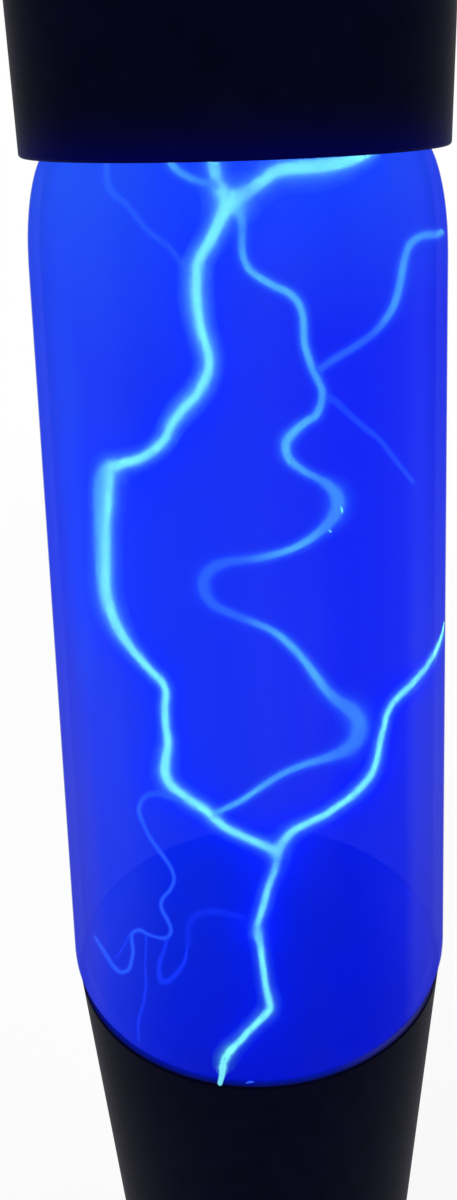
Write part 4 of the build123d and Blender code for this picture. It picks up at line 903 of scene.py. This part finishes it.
def gas_profile(gap):
    """The tube's outline from the edge of its floor to the crown of its dome, drawn in."""
    inner = GLASS_RADIUS - CORNER_RADIUS
    inner_z = FLOOR_Z - WALL + CORNER_RADIUS
    bend = CORNER_RADIUS - gap
    corner = arc(inner, inner_z, bend, bend, -90, 0, CORNER_STEPS)
    upper = GLASS_RADIUS - SHOULDER_WIDTH
    upper_z = CAP_RIM_Z - SHOULDER_SHOWN
    wide, high = SHOULDER_WIDTH - gap, SHOULDER_HEIGHT - gap
    shoulder = arc(upper, upper_z, wide, high, 0, SHOULDER_TURN, SHOULDER_STEPS)
    edge_radius, edge_z = shoulder[-1]
    dome = [(edge_radius * share, edge_z + DOME_RISE * (1 - share**2)) for share in DOME_SHARES]
    return [*corner, *shoulder, *dome]


# Light


def streamers(name, routes, seen, layers, weak=()):
    """Nested shells of light along the routes."""
    spots = [(inside_tube(x, y, back), reach, most) for x, y, back, reach, most in weak]
    for number, (scale, cover) in enumerate(layers, 1):
        material = glow_material(f"{name}_{number}", behind_gas(seen), cover, spots)
        tubes(f"{name}_{number}", routes, material, scale)


def build_glow():
    """The glow of the gas, which fills the glass to its edge, the tube's floor and the seal's light."""
    lathe("gas_glow", gas_profile(GLOW_GAP), gas_material())
    floor_z = FLOOR_Z + FLOOR_GLOW_LIFT
    disc = [((GLASS_RADIUS - WALL) * (1 - share), floor_z) for share in FLOOR_GLOW_RINGS]
    lathe("floor_glow", disc, floor_material())
    rim = [(CUP_RADIUS - inset * MM, SEAL_TOP + RIM_GLOW_LIFT) for inset in RIM_GLOW_INSETS]
    lathe("rim_glow", rim, rim_material())


def build_discharge():
    """The streamers in the tube."""
    bright = [traced(route) for route in (STEM, THICK_RIGHT, LEFT_MAIN, LOWER_RIGHT)]
    bright.append(trunk_to_floor())
    streamers("deep", bright, CORE_DEEP, DEEP_LAYERS)
    streamers("bright", bright, CORE_BRIGHT, BRIGHT_LAYERS)
    streamers("halo", [left_halo()], CORE_BRIGHT, HALO_LAYERS)
    streamers("middle", [traced(MIDDLE), traced(SHORT_LEFT)], CORE_PALE, PALE_LAYERS, MIDDLE_WEAK)
    streamers("right", [traced(RIGHT_UPPER)], CORE_PALE, PALE_LAYERS, RIGHT_WEAK)
    streamers("sheet", [traced(LEFT_SHEET)], CORE_PALE, SOFT_LAYERS)
    streamers("sparks", [traced(route) for route in SPARKS], CORE_BRIGHT, SPARK_LAYERS)
    streamers("faint", [traced(FAINT_LOOP), traced(FAINT_CURL)], CORE_FAINT, FAINT_LAYERS)
    fading = [traced(FAINT_UPPER_LEFT), traced(FAINT_UPPER_RIGHT)]
    streamers("fading", fading, CORE_FAINT, FADING_LAYERS)
    mist = [traced(route) for route in (FAINT_STRAND, FAINT_WISP, FAINT_TAIL)]
    streamers("mist", mist, CORE_MIST, MIST_LAYERS)
    streamers("arc", [traced(FAINT_ARC)], CORE_MIST, ARC_LAYERS)


def build_rim_run():
    """What shows of the discharge over the edge of the glass, with painted glints on the seal at its end
    and beside it.
    """
    run = [outside(RIM_RUN)]
    core = glow_material("rim_run", CORE_RIM, RIM_RUN_COVER)
    tubes("rim_run", run, core, RIM_RUN_WIDTH, inside=False)
    soft = glow_material("rim_run_glow", CORE_RIM, RIM_GLOW_COVER)
    tubes("rim_run_glow", run, soft, RIM_GLOW_WIDTH, inside=False)
    # Painted glints on the seal beside the run's end
    painted_glints = [outside(route) for route in RIM_PAINTED_GLINTS]
    tubes("rim_painted_glints", painted_glints, glow_material("rim_painted_glints", CORE_FAINT, RIM_PAINTED_GLINT_COVER), inside=False)


def dress_frame():
    """A material for each CAD node, by its slot in the record."""
    made = {"blue_glass": tube_glass()}
    for slot, (dark, light, rough, grain, depth, other) in FINISHES.items():
        made[slot] = finish(slot, dark, light, rough, grain, depth, **other)
    slots = {row["node"]: row["material_slot"] for row in frame["record"]["subparts"]}
    for name, piece in frame["nodes"].items():
        piece.data.materials.clear()
        piece.data.materials.append(made[slots[name]])


# Studio and camera


def white_to_sight(tree, out_kind, shader, white, share):
    """Mixes plain white into what the camera, reflections and the glass see of a backdrop."""
    path = node(tree, "ShaderNodeLightPath")
    seen = path.outputs["Is Camera Ray"]
    for other in ("Is Glossy Ray", "Is Transmission Ray"):
        seen = combined(tree, "MAXIMUM", seen, path.outputs[other])
    amount = combined(tree, "MULTIPLY", seen, share)
    show(tree, mixed_shaders(tree, amount, shader, white), out_kind)


def white_world():
    world = bpy.data.worlds.new("studio")
    bpy.context.scene.world = world
    world.use_nodes = True
    tree = world.node_tree
    tree.nodes.clear()
    soft = node(tree, "ShaderNodeBackground", Color=(*WORLD_COLOUR, 1), Strength=WORLD_STRENGTH)
    white = node(tree, "ShaderNodeBackground", Color=(*WHITE, 1), Strength=1.0)
    white_to_sight(tree, "ShaderNodeOutputWorld", soft, white, 1.0)


def pale_floor():
    material, tree = new_material("studio_floor")
    pale = node(tree, "ShaderNodeBsdfDiffuse", Color=(*STUDIO_FLOOR, 1))
    white = node(tree, "ShaderNodeEmission", Color=(*WHITE, 1), Strength=1.0)
    far = ramp(tree, distance(tree, object_place(tree), (0, 0, 0)), *FLOOR_TO_WHITE)
    white_to_sight(tree, "ShaderNodeOutputMaterial", pale, white, far)
    data = bpy.data.meshes.new("studio_floor")
    reach = STUDIO_FLOOR_REACH
    corners = [(-reach, -reach, 0), (reach, -reach, 0), (reach, reach, 0), (-reach, reach, 0)]
    data.from_pydata(corners, [], [(0, 1, 2, 3)])
    data.materials.append(material)
    floor = bpy.data.objects.new("studio_floor", data)
    bpy.context.scene.collection.objects.link(floor)


def studio():
    """White surroundings, a pale floor and two broad lamps."""
    white_world()
    pale_floor()
    for name, place, power, size in LAMPS:
        light = bpy.data.lights.new(name, "AREA")
        light.energy = power
        light.size = size
        lamp = bpy.data.objects.new(name, light)
        lamp.location = place
        lamp.rotation_euler = (LAMP_AIM - place).to_track_quat("-Z", "Y").to_euler()
        lamp.visible_glossy = False
        bpy.context.scene.collection.objects.link(lamp)


def photo_camera():
    """The camera at the photo's place and angle."""
    data = bpy.data.cameras.new("photo_camera")
    data.sensor_width = SENSOR
    data.lens = FOCAL_PIXELS * SENSOR / IMAGE_HEIGHT
    data.shift_x = (IMAGE_WIDTH / 2 - MIDDLE_X) / IMAGE_HEIGHT
    data.shift_y = (MIDDLE_Y - IMAGE_HEIGHT / 2) / IMAGE_HEIGHT
    data.clip_start = CLIP_START
    camera = bpy.data.objects.new("photo_camera", data)
    turn = Matrix((RIGHT, UP, -FORWARD)).transposed()
    camera.matrix_world = Matrix.Translation(CAMERA_PLACE) @ turn.to_4x4()
    bpy.context.scene.collection.objects.link(camera)
    bpy.context.scene.camera = camera


dress_frame()
build_glow()
build_discharge()
build_rim_run()
studio()
photo_camera()
bpy.context.scene.view_settings.view_transform = "Standard"
bpy.context.scene.cycles.transparent_max_bounces = TRANSPARENT_BOUNCES
